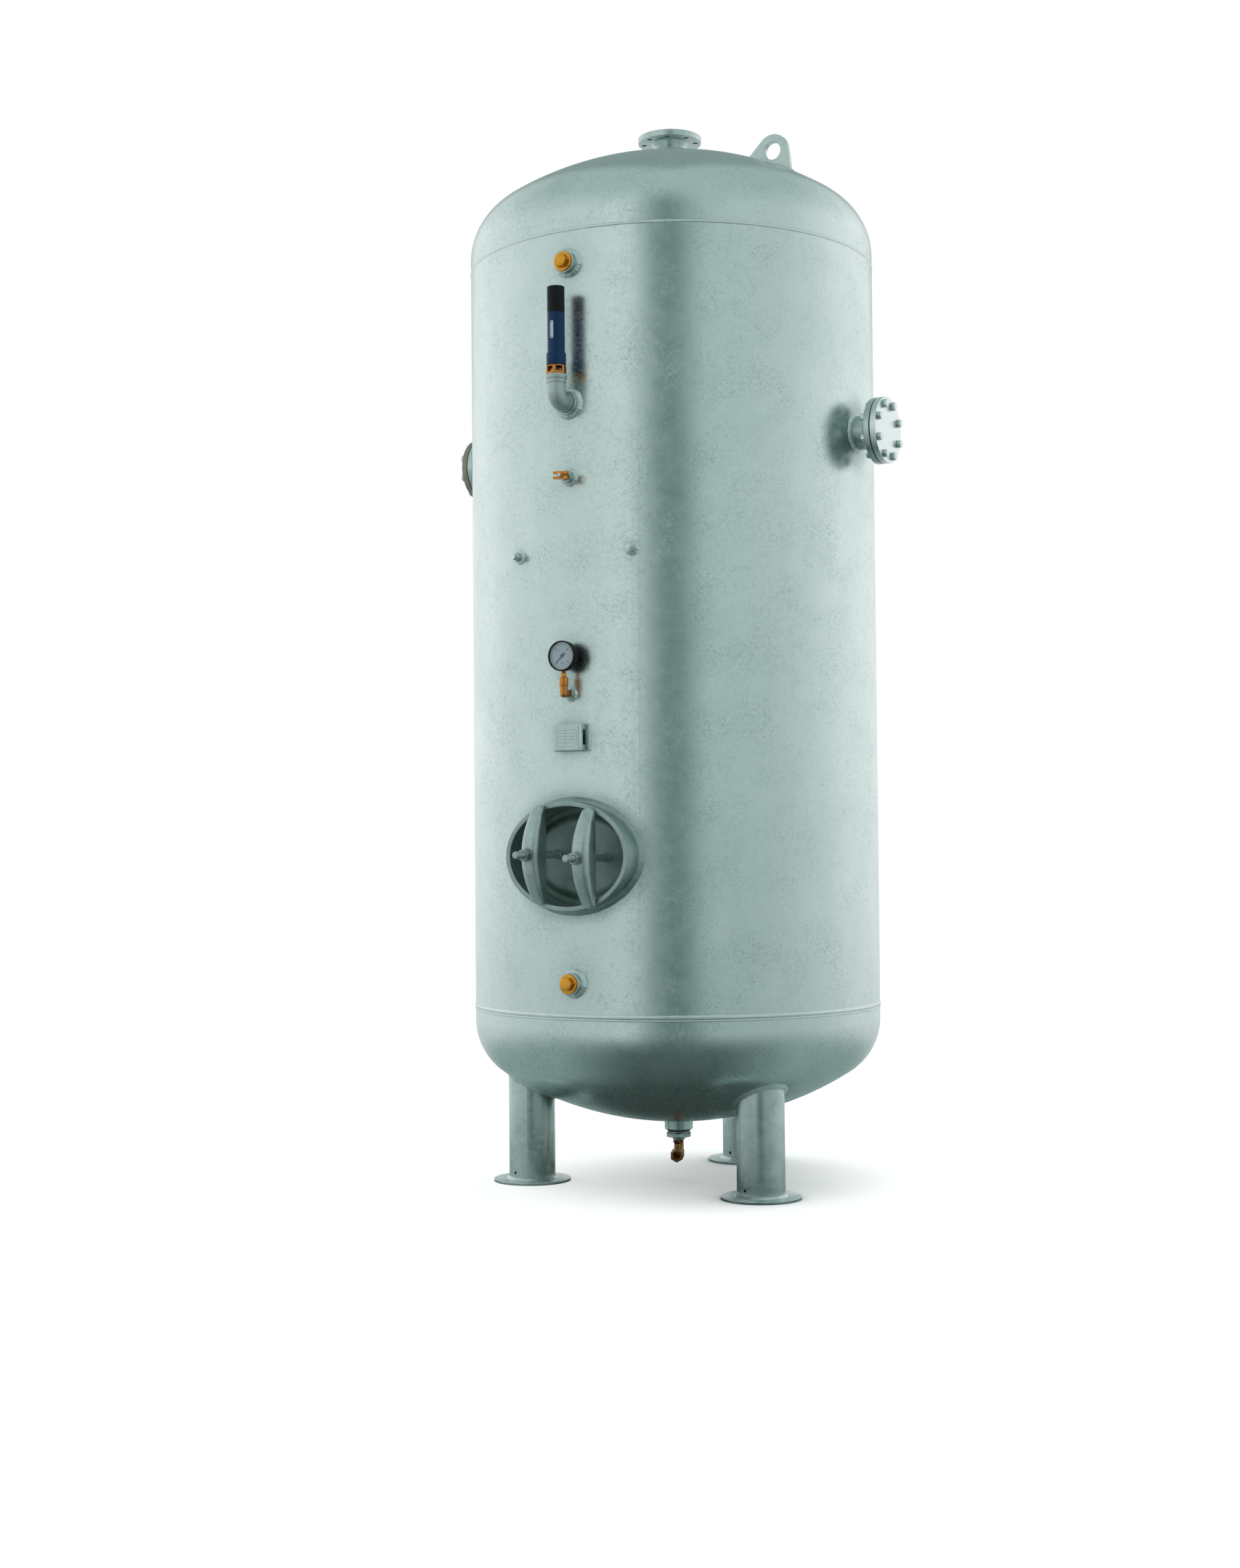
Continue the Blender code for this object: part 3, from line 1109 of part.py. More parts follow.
def make_drain_valve(frame):
    """A ball valve along local +Z, with its stem along local +Y."""
    middle = VALVE_LENGTH / 2
    end = VALVE_LENGTH
    chamber = BALL_RADIUS + BALL_CLEARANCE
    steps = 6
    half = math.asin(DRAIN_BORE / chamber)
    pocket = [(chamber * math.sin(a), middle + chamber * math.cos(a))
              for a in (half + (math.pi - 2 * half) * i / steps for i in range(steps + 1))]
    face = end - VALVE_END_RECESS
    profile = [(DRAIN_BORE, VALVE_END_RECESS), (VALVE_BODY_RADIUS, VALVE_END_RECESS),
               (VALVE_BODY_RADIUS, face), (VALVE_MOUTH_RADIUS, face),
               (VALVE_MOUTH_RADIUS, end - VALVE_MOUTH_DEPTH),
               (DRAIN_BORE, end - VALVE_MOUTH_DEPTH)] + pocket
    body = add("drain_valve_body", turned(profile, ROUND_SEGMENTS), frame, "brass")
    within = (VALVE_BODY_RADIUS + VALVE_MOUTH_RADIUS) * math.cos(math.radians(30))
    for low in (0.0, end - VALVE_END_LENGTH):
        grip = sleeve(hexagon(VALVE_END_ACROSS_FLATS, 30.0), hexagon(within, 30.0), low,
                      low + VALVE_END_LENGTH)
        join(body, grip, frame)
    stem_foot = frame @ upright(z=middle)
    stem = upright(*stem_foot.translation)
    join(body, round_bar(VALVE_NECK_RADIUS, BALL_RADIUS + 0.002, VALVE_NECK_HEIGHT), stem)
    cut(body, round_bar(BALL_STEM_RADIUS + BALL_STEM_CLEARANCE, 0.0, VALVE_NECK_HEIGHT + 0.01),
        stem)

    sphere = bmesh.new()
    bmesh.ops.create_uvsphere(sphere, u_segments=SMALL_SEGMENTS, v_segments=8, radius=BALL_RADIUS)
    ball = add("drain_ball", sphere, stem, "zinc")
    join(ball, round_bar(BALL_STEM_RADIUS, BALL_RADIUS / 2, BALL_STEM_HEIGHT), stem)
    cut(ball, round_bar(DRAIN_BORE, -0.03, 0.03), stem_foot)
    make_drain_lever(stem)


def make_drain_lever(stem):
    """The lever points along the pipe when the valve is open. Local +X runs along it."""
    low = VALVE_NECK_HEIGHT + GAP
    line = [(-LEVER_BOSS_REACH, low), (LEVER_RAMP_START, low), (LEVER_RAMP_END, low + LEVER_RISE),
            (LEVER_LENGTH, low + LEVER_RISE)]
    half, thick = LEVER_WIDTH / 2, LEVER_THICKNESS
    loops = [[(x, -half, z), (x, half, z), (x, half, z + thick), (x, -half, z + thick)]
             for x, z in line]
    frame = stem @ Matrix.Rotation(math.radians(DRAIN_AZIMUTH - 90.0), 4, "Z")
    lever = add("drain_lever", stacked(loops), frame, "red_plastic")
    hole = round_bar(BALL_STEM_RADIUS + GAP, low - 0.01, low + 0.01)
    cut(lever, hole, frame)
    nut_low = low + thick + GAP
    nut_shape = prism(hexagon(LEVER_NUT_ACROSS_FLATS), nut_low, nut_low + LEVER_NUT_HEIGHT)
    nut = add("drain_lever_nut", nut_shape, frame, "zinc")
    cut(nut, round_bar(BALL_STEM_RADIUS + GAP, nut_low - 0.01, nut_low + 0.02), frame)


def main():
    clear_scene()
    make_shell()
    make_heads()
    make_legs()
    make_lugs()
    make_side_flanges()
    make_top_nozzle()
    make_plugs()
    make_bracket_studs()
    make_safety_valve()
    make_test_connection()
    make_gauge()
    make_nameplate()
    make_manway()
    make_drain()


main()
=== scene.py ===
"""Looks of the upright galvanised air receiver: fine geometry and materials round the CAD part.

Units are metres in the CAD frame. An azimuth is counted in degrees from the front (-Y) towards +X.
"""

import math
import random

import bmesh
import bpy
from mathutils import Matrix, Vector


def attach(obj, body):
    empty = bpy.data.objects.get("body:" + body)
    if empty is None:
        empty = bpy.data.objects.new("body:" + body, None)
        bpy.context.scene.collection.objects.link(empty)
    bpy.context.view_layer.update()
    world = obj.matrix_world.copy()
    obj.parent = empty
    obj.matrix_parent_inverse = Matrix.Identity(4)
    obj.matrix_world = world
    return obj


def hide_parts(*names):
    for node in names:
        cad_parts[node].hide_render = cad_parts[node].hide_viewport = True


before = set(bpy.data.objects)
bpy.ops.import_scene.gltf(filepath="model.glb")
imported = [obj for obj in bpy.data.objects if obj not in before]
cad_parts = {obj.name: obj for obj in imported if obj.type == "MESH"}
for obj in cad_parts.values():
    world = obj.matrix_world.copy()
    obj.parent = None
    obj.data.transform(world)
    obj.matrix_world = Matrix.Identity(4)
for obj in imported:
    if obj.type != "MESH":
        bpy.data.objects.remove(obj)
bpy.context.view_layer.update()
scene = bpy.context.scene
random.seed(7)

# ---------------------------------------------------------------- sizes that the CAD shares

RADIUS = 0.700
WALL = 0.008
CROWN, KNUCKLE, STRAIGHT = 1.120, 0.2156, 0.045
KNUCKLE_CENTRE = RADIUS - KNUCKLE
DROP = math.sqrt((CROWN - KNUCKLE) ** 2 - KNUCKLE_CENTRE**2)
TANGENT = math.atan2(KNUCKLE_CENTRE, DROP)
DEPTH = STRAIGHT + CROWN - DROP
CLEAR = 0.2065
LOWER_SEAM = CLEAR + DEPTH
UPPER_SEAM = LOWER_SEAM + 2.5425
CROWN_HEIGHT = UPPER_SEAM + DEPTH
GAP = 0.0003
AXIS_Y = 0.0985  # the tank's axis stands this far behind the frame's origin

LEG_REACH, LEG_RADIUS, LEG_BORE = 0.509, 0.0795, 0.075
FOOT_RADIUS, FOOT_THICK = 0.1325, 0.010
NOZZLE_RADIUS, NOZZLE_BORE = 0.05715, 0.05265
FLANGE_RADIUS, FLANGE_THICK = 0.110, 0.020
SIDE_FACE, TOP_NECK = 0.789, 0.0885
RIGHT_NOZZLE_HEIGHT, LEFT_NOZZLE_HEIGHT = 2.529, 2.541
PLUG_HEIGHTS = {"upper": 3.040, "lower": 0.7175}
SAFETY_HEIGHT, TEST_HEIGHT, STUD_HEIGHT = 2.583, 2.345, 2.105
GAUGE_HEIGHT, NAMEPLATE_HEIGHT = 1.645, 1.506
MANWAY_HEIGHT, MANWAY_REACH = 1.125, 0.745
MANWAY_OVAL = (0.226, 0.176)
STUD_RADIUS = 0.012

# ---------------------------------------------------------------- frames


def outward(azimuth, height, reach=0.0):
    """Local +Z points out of the shell, +X to the right and +Y up."""
    a = math.radians(azimuth)
    right = Vector((math.cos(a), math.sin(a), 0.0))
    out = Vector((math.sin(a), -math.cos(a), 0.0))
    m = Matrix((right, Vector((0.0, 0.0, 1.0)), out)).transposed().to_4x4()
    m.translation = out * reach + Vector((0.0, 0.0, height))
    return m


def upright(x=0.0, y=0.0, z=0.0):
    return Matrix.Translation((x, y, z))


def spun(degrees, axis="Z"):
    return Matrix.Rotation(math.radians(degrees), 4, axis)


# ---------------------------------------------------------------- shapes, as bmesh


def soften(points, steps=4):
    """(r, z) or (r, z, radius): each corner with a radius becomes an arc."""
    out = []
    for i, p in enumerate(points):
        if len(p) < 3 or p[2] <= 0 or i in (0, len(points) - 1):
            out.append((p[0], p[1]))
            continue
        here = Vector(p[:2])
        back, on = Vector(points[i - 1][:2]) - here, Vector(points[i + 1][:2]) - here
        reach = min(p[2], 0.48 * back.length, 0.48 * on.length)
        a, b = here + back.normalized() * reach, here + on.normalized() * reach
        for k in range(steps + 1):
            t = k / steps
            q = a * (1 - t) ** 2 + here * (2 * t * (1 - t)) + b * t**2
            out.append((q.x, q.y))
    return out


def angles(count):
    """Equal steps round a full turn, in radians."""
    return [2 * math.pi * k / count for k in range(count)]


def polar(radius, angle):
    return radius * math.cos(angle), radius * math.sin(angle)


def turned(profile, segments=64):
    """A solid turned about Z from (r, z[, corner radius]) points."""
    points = soften(profile)
    bm = bmesh.new()
    rings = []
    for r, z in points:
        spots = [(0.0, 0.0)] if r < 1e-9 else [polar(r, a) for a in angles(segments)]
        rings.append([bm.verts.new((x, y, z)) for x, y in spots])
    pairs = list(zip(rings, rings[1:]))
    if points[0][0] > 0 or points[-1][0] > 0:
        pairs.append((rings[-1], rings[0]))
    for a, b in pairs:
        for k in range(segments):
            j = (k + 1) % segments
            corners = [a[k % len(a)], a[j % len(a)], b[j % len(b)], b[k % len(b)]]
            corners = list(dict.fromkeys(corners))
            if len(corners) > 2:
                bm.faces.new(corners)
    bmesh.ops.recalc_face_normals(bm, faces=bm.faces)
    return bm


def band(bore, radius, low, high, segments=64, foot=0.0, rim=0.0):
    """A ring round Z, with its outer edges rounded by foot below and by rim above."""
    return turned([(bore, low), (radius, low, foot), (radius, high, rim), (bore, high)], segments)


def bar(radius, low, high, segments=64, foot=0.0, rim=0.0):
    """A round bar along Z, with its edges rounded by foot below and by rim above."""
    return band(0.0, radius, low, high, segments, foot, rim)


def stacked(loops, closed=False):
    """A solid through loops of points. Closed joins the last loop to the first."""
    bm = bmesh.new()
    rings = [[bm.verts.new(p) for p in loop] for loop in loops]
    pairs = list(zip(rings, rings[1:])) + ([(rings[-1], rings[0])] if closed else [])
    for a, b in pairs:
        for k in range(len(a)):
            j = (k + 1) % len(a)
            bm.faces.new((a[k], a[j], b[j], b[k]))
    if not closed:
        bm.faces.new(rings[0])
        bm.faces.new(rings[-1])
    bmesh.ops.recalc_face_normals(bm, faces=bm.faces)
    return bm


def round_band(count, section):
    """A closed band round Z. section(k) gives its (r, z) outline at step k of the turn."""
    return stacked([[(*polar(r, a), z) for r, z in section(k)]
                    for k, a in enumerate(angles(count))], closed=True)


def prism(outline, low, high):
    return stacked([[(x, y, z) for x, y in outline] for z in (low, high)])


def block(x0, x1, y0, y1, low, high):
    return prism([(x0, y0), (x1, y0), (x1, y1), (x0, y1)], low, high)


def oval(a, b, segments=96):
    return [(a * math.cos(t), b * math.sin(t)) for t in angles(segments)]


def rounded(width, height, radius, steps=5):
    """A rectangle with round corners."""
    pts = []
    for cx, cy, start in ((1, 1, 0), (-1, 1, 90), (-1, -1, 180), (1, -1, 270)):
        for k in range(steps + 1):
            x, y = polar(radius, math.radians(start + 90 * k / steps))
            pts.append((cx * (width / 2 - radius) + x, cy * (height / 2 - radius) + y))
    return pts


def nut(flats, low, high, turn=0.0, bore=0.0, top=True, bottom=False, slope=0.55):
    """A hexagon whose corners are turned off in a cone, with an optional bore."""
    steps, start = angles(72), math.radians(turn + 30)
    cone = flats * 0.48
    depth = (flats / math.sqrt(3) - cone) * slope
    heights = [low + depth * k / 4 for k in range(5)]
    heights += [high - depth * (1 - k / 4) for k in range(5)]
    loops = []
    for z in heights:
        loop = []
        for a in steps:
            r = flats / 2 / math.cos((a + math.pi / 6) % (math.pi / 3) - math.pi / 6)
            if top:
                r = min(r, cone + (high - z) / slope)
            if bottom:
                r = min(r, cone + (z - low) / slope)
            loop.append((*polar(r, a + start), z))
        loops.append(loop)
    if bore:
        loops += [[(*polar(bore, a + start), z) for a in steps] for z in (high, low)]
    return stacked(loops, closed=bool(bore))


def tube(path, radius, segments):
    """A round bar along 3-D points."""
    loops = []
    side = None
    for i, p in enumerate(path):
        before, after = Vector(path[max(i - 1, 0)]), Vector(path[min(i + 1, len(path) - 1)])
        along = (after - before).normalized()
        if side is None:
            side = along.orthogonal().normalized()
        side = (side - along * side.dot(along)).normalized()
        up = along.cross(side)
        loops.append([Vector(p) + radius * (math.cos(a) * side + math.sin(a) * up)
                      for a in angles(segments)])
    return stacked(loops)


def merged(*shapes):
    """Several bmeshes in one, without joining their surfaces."""
    out = bmesh.new()
    for shape in shapes:
        mesh = bpy.data.meshes.new("part")
        shape.to_mesh(mesh)
        shape.free()
        out.from_mesh(mesh)
        bpy.data.meshes.remove(mesh)
    return out


def placed(shape, matrix):
    shape.transform(matrix)
    return shape


def boolean(first, second, operation="DIFFERENCE"):
    """Two bmeshes through an exact Boolean."""
    objects = []
    for shape in (first, second):
        mesh = bpy.data.meshes.new("operand")
        shape.to_mesh(mesh)
        shape.free()
        obj = bpy.data.objects.new("operand", mesh)
        scene.collection.objects.link(obj)
        objects.append(obj)
    change = objects[0].modifiers.new("change", "BOOLEAN")
    change.object, change.operation, change.solver = objects[1], operation, "EXACT"
    graph = bpy.context.evaluated_depsgraph_get()
    out = bmesh.new()
    out.from_mesh(objects[0].evaluated_get(graph).to_mesh())
    for obj in objects:
        mesh = obj.data
        bpy.data.objects.remove(obj)
        bpy.data.meshes.remove(mesh)
    bmesh.ops.remove_doubles(out, verts=out.verts, dist=1e-6)
    return out


def piece(name, shape, look, body="tank", stands_for=(), edge=0.0006, angle=32.0, smooth=True):
    """A finished piece, given in the tank's own frame, which rides on a body."""
    mesh = bpy.data.meshes.new(name)
    shape.transform(upright(y=AXIS_Y))
    shape.to_mesh(mesh)
    shape.free()
    mesh.materials.append(LOOKS[look])
    obj = bpy.data.objects.new(name, mesh)
    scene.collection.objects.link(obj)
    if smooth:
        mesh.shade_smooth()
    if edge:
        bevel = obj.modifiers.new("edges", "BEVEL")
        bevel.width, bevel.segments = edge, 2
        bevel.limit_method, bevel.angle_limit = "ANGLE", math.radians(angle)
        bevel.harden_normals = True
        bevel.miter_outer = "MITER_ARC"
    elif smooth:
        mesh.set_sharp_from_angle(angle=math.radians(angle))
    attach(obj, body)
    if stands_for:
        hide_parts(*stands_for)


# ---------------------------------------------------------------- materials


class Nodes:
    """A short way to write a node tree."""

    def __init__(self, name):
        self.material = bpy.data.materials.new(name)
        self.material.use_nodes = True
        self.tree = self.material.node_tree
        self.shader = self.tree.nodes["Principled BSDF"]
        self.out = self.tree.nodes["Material Output"]

    def add(self, kind, **settings):
        node = self.tree.nodes.new(kind)
        for key, value in settings.items():
            setattr(node, key, value)
        return node

    def link(self, source, target):
        self.tree.links.new(source, target)

    def put(self, socket, value):
        if isinstance(value, bpy.types.NodeSocket):
            self.link(value, socket)
        else:
            socket.default_value = value

    def coords(self, scale=(1.0, 1.0, 1.0), turn=0.0, source=None):
        """The object's coordinates, or those given, scaled and then turned about Z."""
        mapping = self.add("ShaderNodeMapping")
        source = source or self.add("ShaderNodeTexCoord").outputs["Object"]
        self.link(source, mapping.inputs["Vector"])
        mapping.inputs["Scale"].default_value = scale
        mapping.inputs["Rotation"].default_value = (0.0, 0.0, turn)
        return mapping.outputs["Vector"]

    def fed(self, node, *values):
        """The node, with its first inputs set or linked."""
        for socket, value in zip(node.inputs, values):
            self.put(socket, value)
        return node

    def split(self, vector):
        return self.fed(self.add("ShaderNodeSeparateXYZ"), vector).outputs

    def vector(self, x, y, z=0.0):
        return self.fed(self.add("ShaderNodeCombineXYZ"), x, y, z).outputs[0]

    def length(self, vector):
        node = self.add("ShaderNodeVectorMath", operation="LENGTH")
        return self.fed(node, vector).outputs["Value"]

    def noise(self, vector, scale, detail=4.0, rough=0.55, distort=0.0, output="Fac"):
        node = self.add("ShaderNodeTexNoise")
        self.link(vector, node.inputs["Vector"])
        for name, value in (("Scale", scale), ("Detail", detail), ("Roughness", rough),
                            ("Distortion", distort)):
            node.inputs[name].default_value = value
        return node.outputs[output]

    def cells(self, vector, scale, feature="F1", output="Color"):
        node = self.add("ShaderNodeTexVoronoi", feature=feature)
        self.link(vector, node.inputs["Vector"])
        node.inputs["Scale"].default_value = scale
        return node.outputs[output]

    def math(self, operation, a, b=0.0, c=0.0):
        return self.fed(self.add("ShaderNodeMath", operation=operation), a, b, c).outputs[0]

    def facing(self, across, depth):
        """The angle from the front, where depth runs away from the viewer."""
        return self.math("ARCTAN2", across, self.math("MULTIPLY", depth, -1.0))

    def span(self, value, low, high, to_low=0.0, to_high=1.0):
        node = self.add("ShaderNodeMapRange", clamp=True)
        self.put(node.inputs["Value"], value)
        for name, v in (("From Min", low), ("From Max", high), ("To Min", to_low), ("To Max", to_high)):
            node.inputs[name].default_value = v
        return node.outputs["Result"]

    def blend(self, factor, a, b, kind="MIX"):
        node = self.add("ShaderNodeMix", data_type="RGBA", blend_type=kind)
        self.put(node.inputs[0], factor)
        for socket, value in ((node.inputs[6], a), (node.inputs[7], b)):
            self.put(socket, (*value, 1.0) if isinstance(value, tuple) else value)
        return node.outputs[2]

    def bump(self, height, strength, distance, normal=None):
        node = self.add("ShaderNodeBump")
        node.inputs["Strength"].default_value = strength
        node.inputs["Distance"].default_value = distance
        self.link(height, node.inputs["Height"])
        if normal is not None:
            self.link(normal, node.inputs["Normal"])
        return node.outputs["Normal"]

    def crevice(self, distance):
        """1 in the open and less in corners."""
        node = self.add("ShaderNodeAmbientOcclusion", samples=6, only_local=False)
        node.inputs["Distance"].default_value = distance
        return node.outputs["AO"]

    def soiled(self, colour, tint, distance, deep, open_air, corner_shade):
        """The colour, with painted shade of the given tint in the corners, where the occlusion is deep.
        """
        return self.blend(self.span(self.crevice(distance), deep, open_air, corner_shade, 0.0), colour, tint)

    def shaders(self, factor, first, second):
        return self.fed(self.add("ShaderNodeMixShader"), factor, first, second).outputs[0]

    def either_ray(self, first, second):
        rays = self.add("ShaderNodeLightPath").outputs
        return self.math("MAXIMUM", rays[f"Is {first} Ray"], rays[f"Is {second} Ray"])

    def finish(self, colour, roughness, metallic, normal=None, **extra):
        self.put(self.shader.inputs["Base Color"],
                 (*colour, 1.0) if isinstance(colour, tuple) else colour)
        self.put(self.shader.inputs["Roughness"], roughness)
        self.shader.inputs["Metallic"].default_value = metallic
        if normal is not None:
            self.link(normal, self.shader.inputs["Normal"])
        for key, value in extra.items():
            self.put(self.shader.inputs[key.replace("_", " ")], value)
        return self.material


def sheet_veins(n, where, patch):
    """Two sizes of a broken network of veins, stronger in some patches."""
    warp = n.fed(n.add("ShaderNodeVectorMath", operation="MULTIPLY_ADD"),
                 n.noise(where, 24.0, 3.0, 0.5, output="Color"), (0.055, 0.055, 0.055), where)
    lines = []
    for scale, wide in ((19.0, 0.055), (47.0, 0.085)):
        edge = n.cells(warp.outputs[0], scale, "DISTANCE_TO_EDGE", "Distance")
        lines.append(n.span(edge, 0.0, wide, 1.0, 0.0))
    veins = n.math("MAXIMUM", n.math("MULTIPLY", lines[0], 0.8), lines[1])
    broken = n.span(n.noise(where, 60.0, 3.0, 0.6), 0.42, 0.60)
    strength = n.math("MULTIPLY", broken, n.math("MULTIPLY_ADD", patch, 0.75, 0.25))
    return n.math("MULTIPLY", veins, strength)


def sheet_needles(n, where, sheet):
    """Short needles that slant three ways, in clusters."""
    needles = 0.0
    for turn, stretch in ((0.62, 30.0), (-0.50, 37.0), (1.25, 43.0)):
        slanted = n.coords(turn=turn, source=sheet)
        lay = n.coords((55.0, 420.0, stretch), source=slanted)
        line = n.span(n.noise(lay, 1.0, 2.0), 0.58, 0.67)
        needles = n.math("MAXIMUM", needles, line)
    cluster = n.span(n.noise(where, 7.0, 4.0, 0.62), 0.42, 0.66)
    return n.math("MULTIPLY", needles, n.math("MULTIPLY_ADD", cluster, 0.85, 0.15))


def manway_stain(n, sheet, angle, clouds):
    """An oval painted shadow on the sheet round the manway, which fades towards the left."""
    lowered = n.fed(n.add("ShaderNodeVectorMath", operation="ADD"), sheet,
                    (0.0, -MANWAY_HEIGHT, 0.0)).outputs[0]
    a, b = MANWAY_OVAL
    away = n.length(n.coords((1 / a, 1 / b, 0.0), source=lowered))
    painted_shadow = n.span(n.math("MULTIPLY_ADD", clouds, -0.22, away), 0.90, 1.16, 0.62, 0.0)
    return n.math("MULTIPLY", painted_shadow, n.span(angle, -0.35, 0.30, 0.35, 1.0))


def shell_zinc():
    """Hot-dip galvanising on sheet: a network of rougher veins, short slanting needles and
    broad patches, so that a vein is pale on a dark reflection and dark on a pale one."""
    n = Nodes("shell_zinc")
    where = n.coords()
    across, back, rise = n.split(where)
    depth = n.math("SUBTRACT", back, AXIS_Y)
    angle = n.facing(across, depth)
    # the sheet laid flat: round the shell, up, and out from the tank's axis
    sheet = n.vector(n.math("MULTIPLY", angle, RADIUS), rise, n.length(n.vector(across, depth)))
    patch = n.span(n.noise(where, 4.2, 3.0, 0.6), 0.42, 0.62)
    veins = sheet_veins(n, where, patch)
    needles = sheet_needles(n, where, sheet)
    mottle = n.noise(where, 2.6, 6.0, 0.62, 0.3)
    clouds = n.noise(where, 17.0, 5.0, 0.68, 0.6)
    speck = n.span(n.noise(where, 210.0, 2.0, 0.5), 0.685, 0.74)
    runs = n.noise(n.coords((9.0, 0.55, 1.0), source=sheet), 1.0, 5.0, 0.6, 0.2)
    colour = n.blend(n.span(mottle, 0.30, 0.70), (0.690, 0.780, 0.762), (0.790, 0.870, 0.855))
    for strength, tint in ((n.span(clouds, 0.42, 0.72, 0.0, 0.26), (0.84, 0.905, 0.895)),
                           (n.span(runs, 0.52, 0.75, 0.0, 0.14), (0.60, 0.68, 0.66)),
                           (n.math("MULTIPLY", veins, 0.20), (0.44, 0.54, 0.52)),
                           (n.math("MULTIPLY", needles, 0.62), (0.30, 0.40, 0.38)),
                           (n.math("MULTIPLY", speck, 0.45), (0.26, 0.33, 0.31))):
        colour = n.blend(strength, colour, tint)
    # painted shade: a dark halo, from the occlusion, round the pieces that stand on the sheet, and then
    # a painted shadow round the manway
    colour = n.soiled(colour, (0.22, 0.31, 0.29), 0.085, 0.45, 0.96, 0.70)
    colour = n.blend(manway_stain(n, sheet, angle, clouds), colour, (0.20, 0.29, 0.27))
    rough = n.span(clouds, 0.30, 0.75, 0.20, 0.30)
    rough = n.math("MULTIPLY_ADD", veins, 0.17, rough)
    rough = n.math("MULTIPLY_ADD", needles, 0.10, rough)
    normal = n.bump(n.noise(where, 6.0, 1.0), 0.35, 0.0012)
    relief = n.math("SUBTRACT", n.math("MULTIPLY", clouds, 0.6), n.math("MULTIPLY", needles, 0.5))
    normal = n.bump(relief, 0.12, 0.0008, normal)
    return n.finish(colour, rough, 1.0, normal)


def galv(name, low, high, rough=(0.38, 0.55), grain=60.0, relief=0.15, depth=0.0008, corner_shade=0.5,
         metallic=0.9):
    """Galvanising on pipe, plate and castings."""
    n = Nodes(name)
    where = n.coords()
    mottle = n.noise(where, 9.0, 5.0, 0.6, 0.4)
    flakes = n.cells(where, grain)
    level = n.add("ShaderNodeRGBToBW")
    n.link(flakes, level.inputs[0])
    fine = n.noise(where, grain * 5, 3.0, 0.6)
    colour = n.blend(n.span(mottle, 0.3, 0.7), low, high)
    colour = n.blend(n.span(level.outputs[0], 0.2, 0.8, 0.0, 0.22), colour,
                     tuple(min(1.0, v * 1.22) for v in high))
    colour = n.blend(n.span(fine, 0.60, 0.75, 0.0, 0.35), colour, tuple(v * 0.6 for v in low))
    # painted shade in the corners, from the occlusion
    colour = n.soiled(colour, (0.16, 0.21, 0.20), 0.02, 0.35, 0.95, corner_shade)
    shine = n.span(n.math("MULTIPLY_ADD", level.outputs[0], 0.15, mottle), 0.38, 0.80, *rough)
    normal = n.bump(n.math("MULTIPLY_ADD", fine, 0.5, mottle), relief, depth)
    return n.finish(colour, shine, metallic, normal)


def plain(name, low, high, rough, metallic=0.0, grain=120.0, relief=0.05, depth=0.0004, corner_shade=0.35,
          **extra):
    """A coloured metal, paint or plastic with fine variation and painted shade in its corners."""
    n = Nodes(name)
    where = n.coords()
    broad = n.noise(where, grain / 6, 4.0, 0.6, 0.3)
    fine = n.noise(where, grain * 3, 3.0, 0.55)
    colour = n.blend(n.span(broad, 0.3, 0.7), low, high)
    colour = n.blend(n.span(fine, 0.62, 0.78, 0.0, 0.3), colour, tuple(v * 0.6 for v in low))
    # painted shade in the corners, from the occlusion
    if corner_shade:
        colour = n.soiled(colour, tuple(v * 0.25 for v in low), 0.012, 0.3, 0.9, corner_shade)
    shine = n.span(broad, 0.3, 0.7, *rough)
    normal = n.bump(n.math("MULTIPLY_ADD", broad, 0.3, fine), relief, depth)
    return n.finish(colour, shine, metallic, normal, **extra)


def turned_zinc():
    """The blind flange's face, with the rings that the lathe left."""
    n = Nodes("turned_zinc")
    where = n.coords()
    _, across, rise = n.split(where)
    y = n.math("SUBTRACT", across, AXIS_Y)
    z = n.math("SUBTRACT", rise, RIGHT_NOZZLE_HEIGHT)
    radius = n.math("SQRT", n.math("MULTIPLY_ADD", y, y, n.math("MULTIPLY", z, z)))
    rings = n.math("SINE", n.math("MULTIPLY", radius, 5200.0))
    broad = n.noise(where, 26.0, 4.0)
    colour = n.blend(n.span(broad, 0.3, 0.7), (0.82, 0.885, 0.87), (0.94, 0.985, 0.975))
    colour = n.blend(n.span(rings, -1.0, 1.0, 0.0, 0.12), colour, (0.60, 0.68, 0.66))
    # painted shade in the corners, from the occlusion
    colour = n.soiled(colour, (0.20, 0.25, 0.24), 0.01, 0.3, 0.9, 0.5)
    normal = n.bump(rings, 0.06, 0.0002)
    return n.finish(colour, n.span(broad, 0.3, 0.7, 0.26, 0.36), 1.0, normal)


def glass():
    """Clear glass that lets the light through without a shadow."""
    n = Nodes("clear_glass")
    n.finish((0.93, 0.97, 0.98), 0.02, 0.0, IOR=1.45, Transmission_Weight=1.0)
    clear = n.add("ShaderNodeBsdfTransparent").outputs[0]
    mix = n.shaders(n.either_ray("Shadow", "Diffuse"), n.shader.outputs[0], clear)
    n.link(mix, n.out.inputs["Surface"])
    return n.material


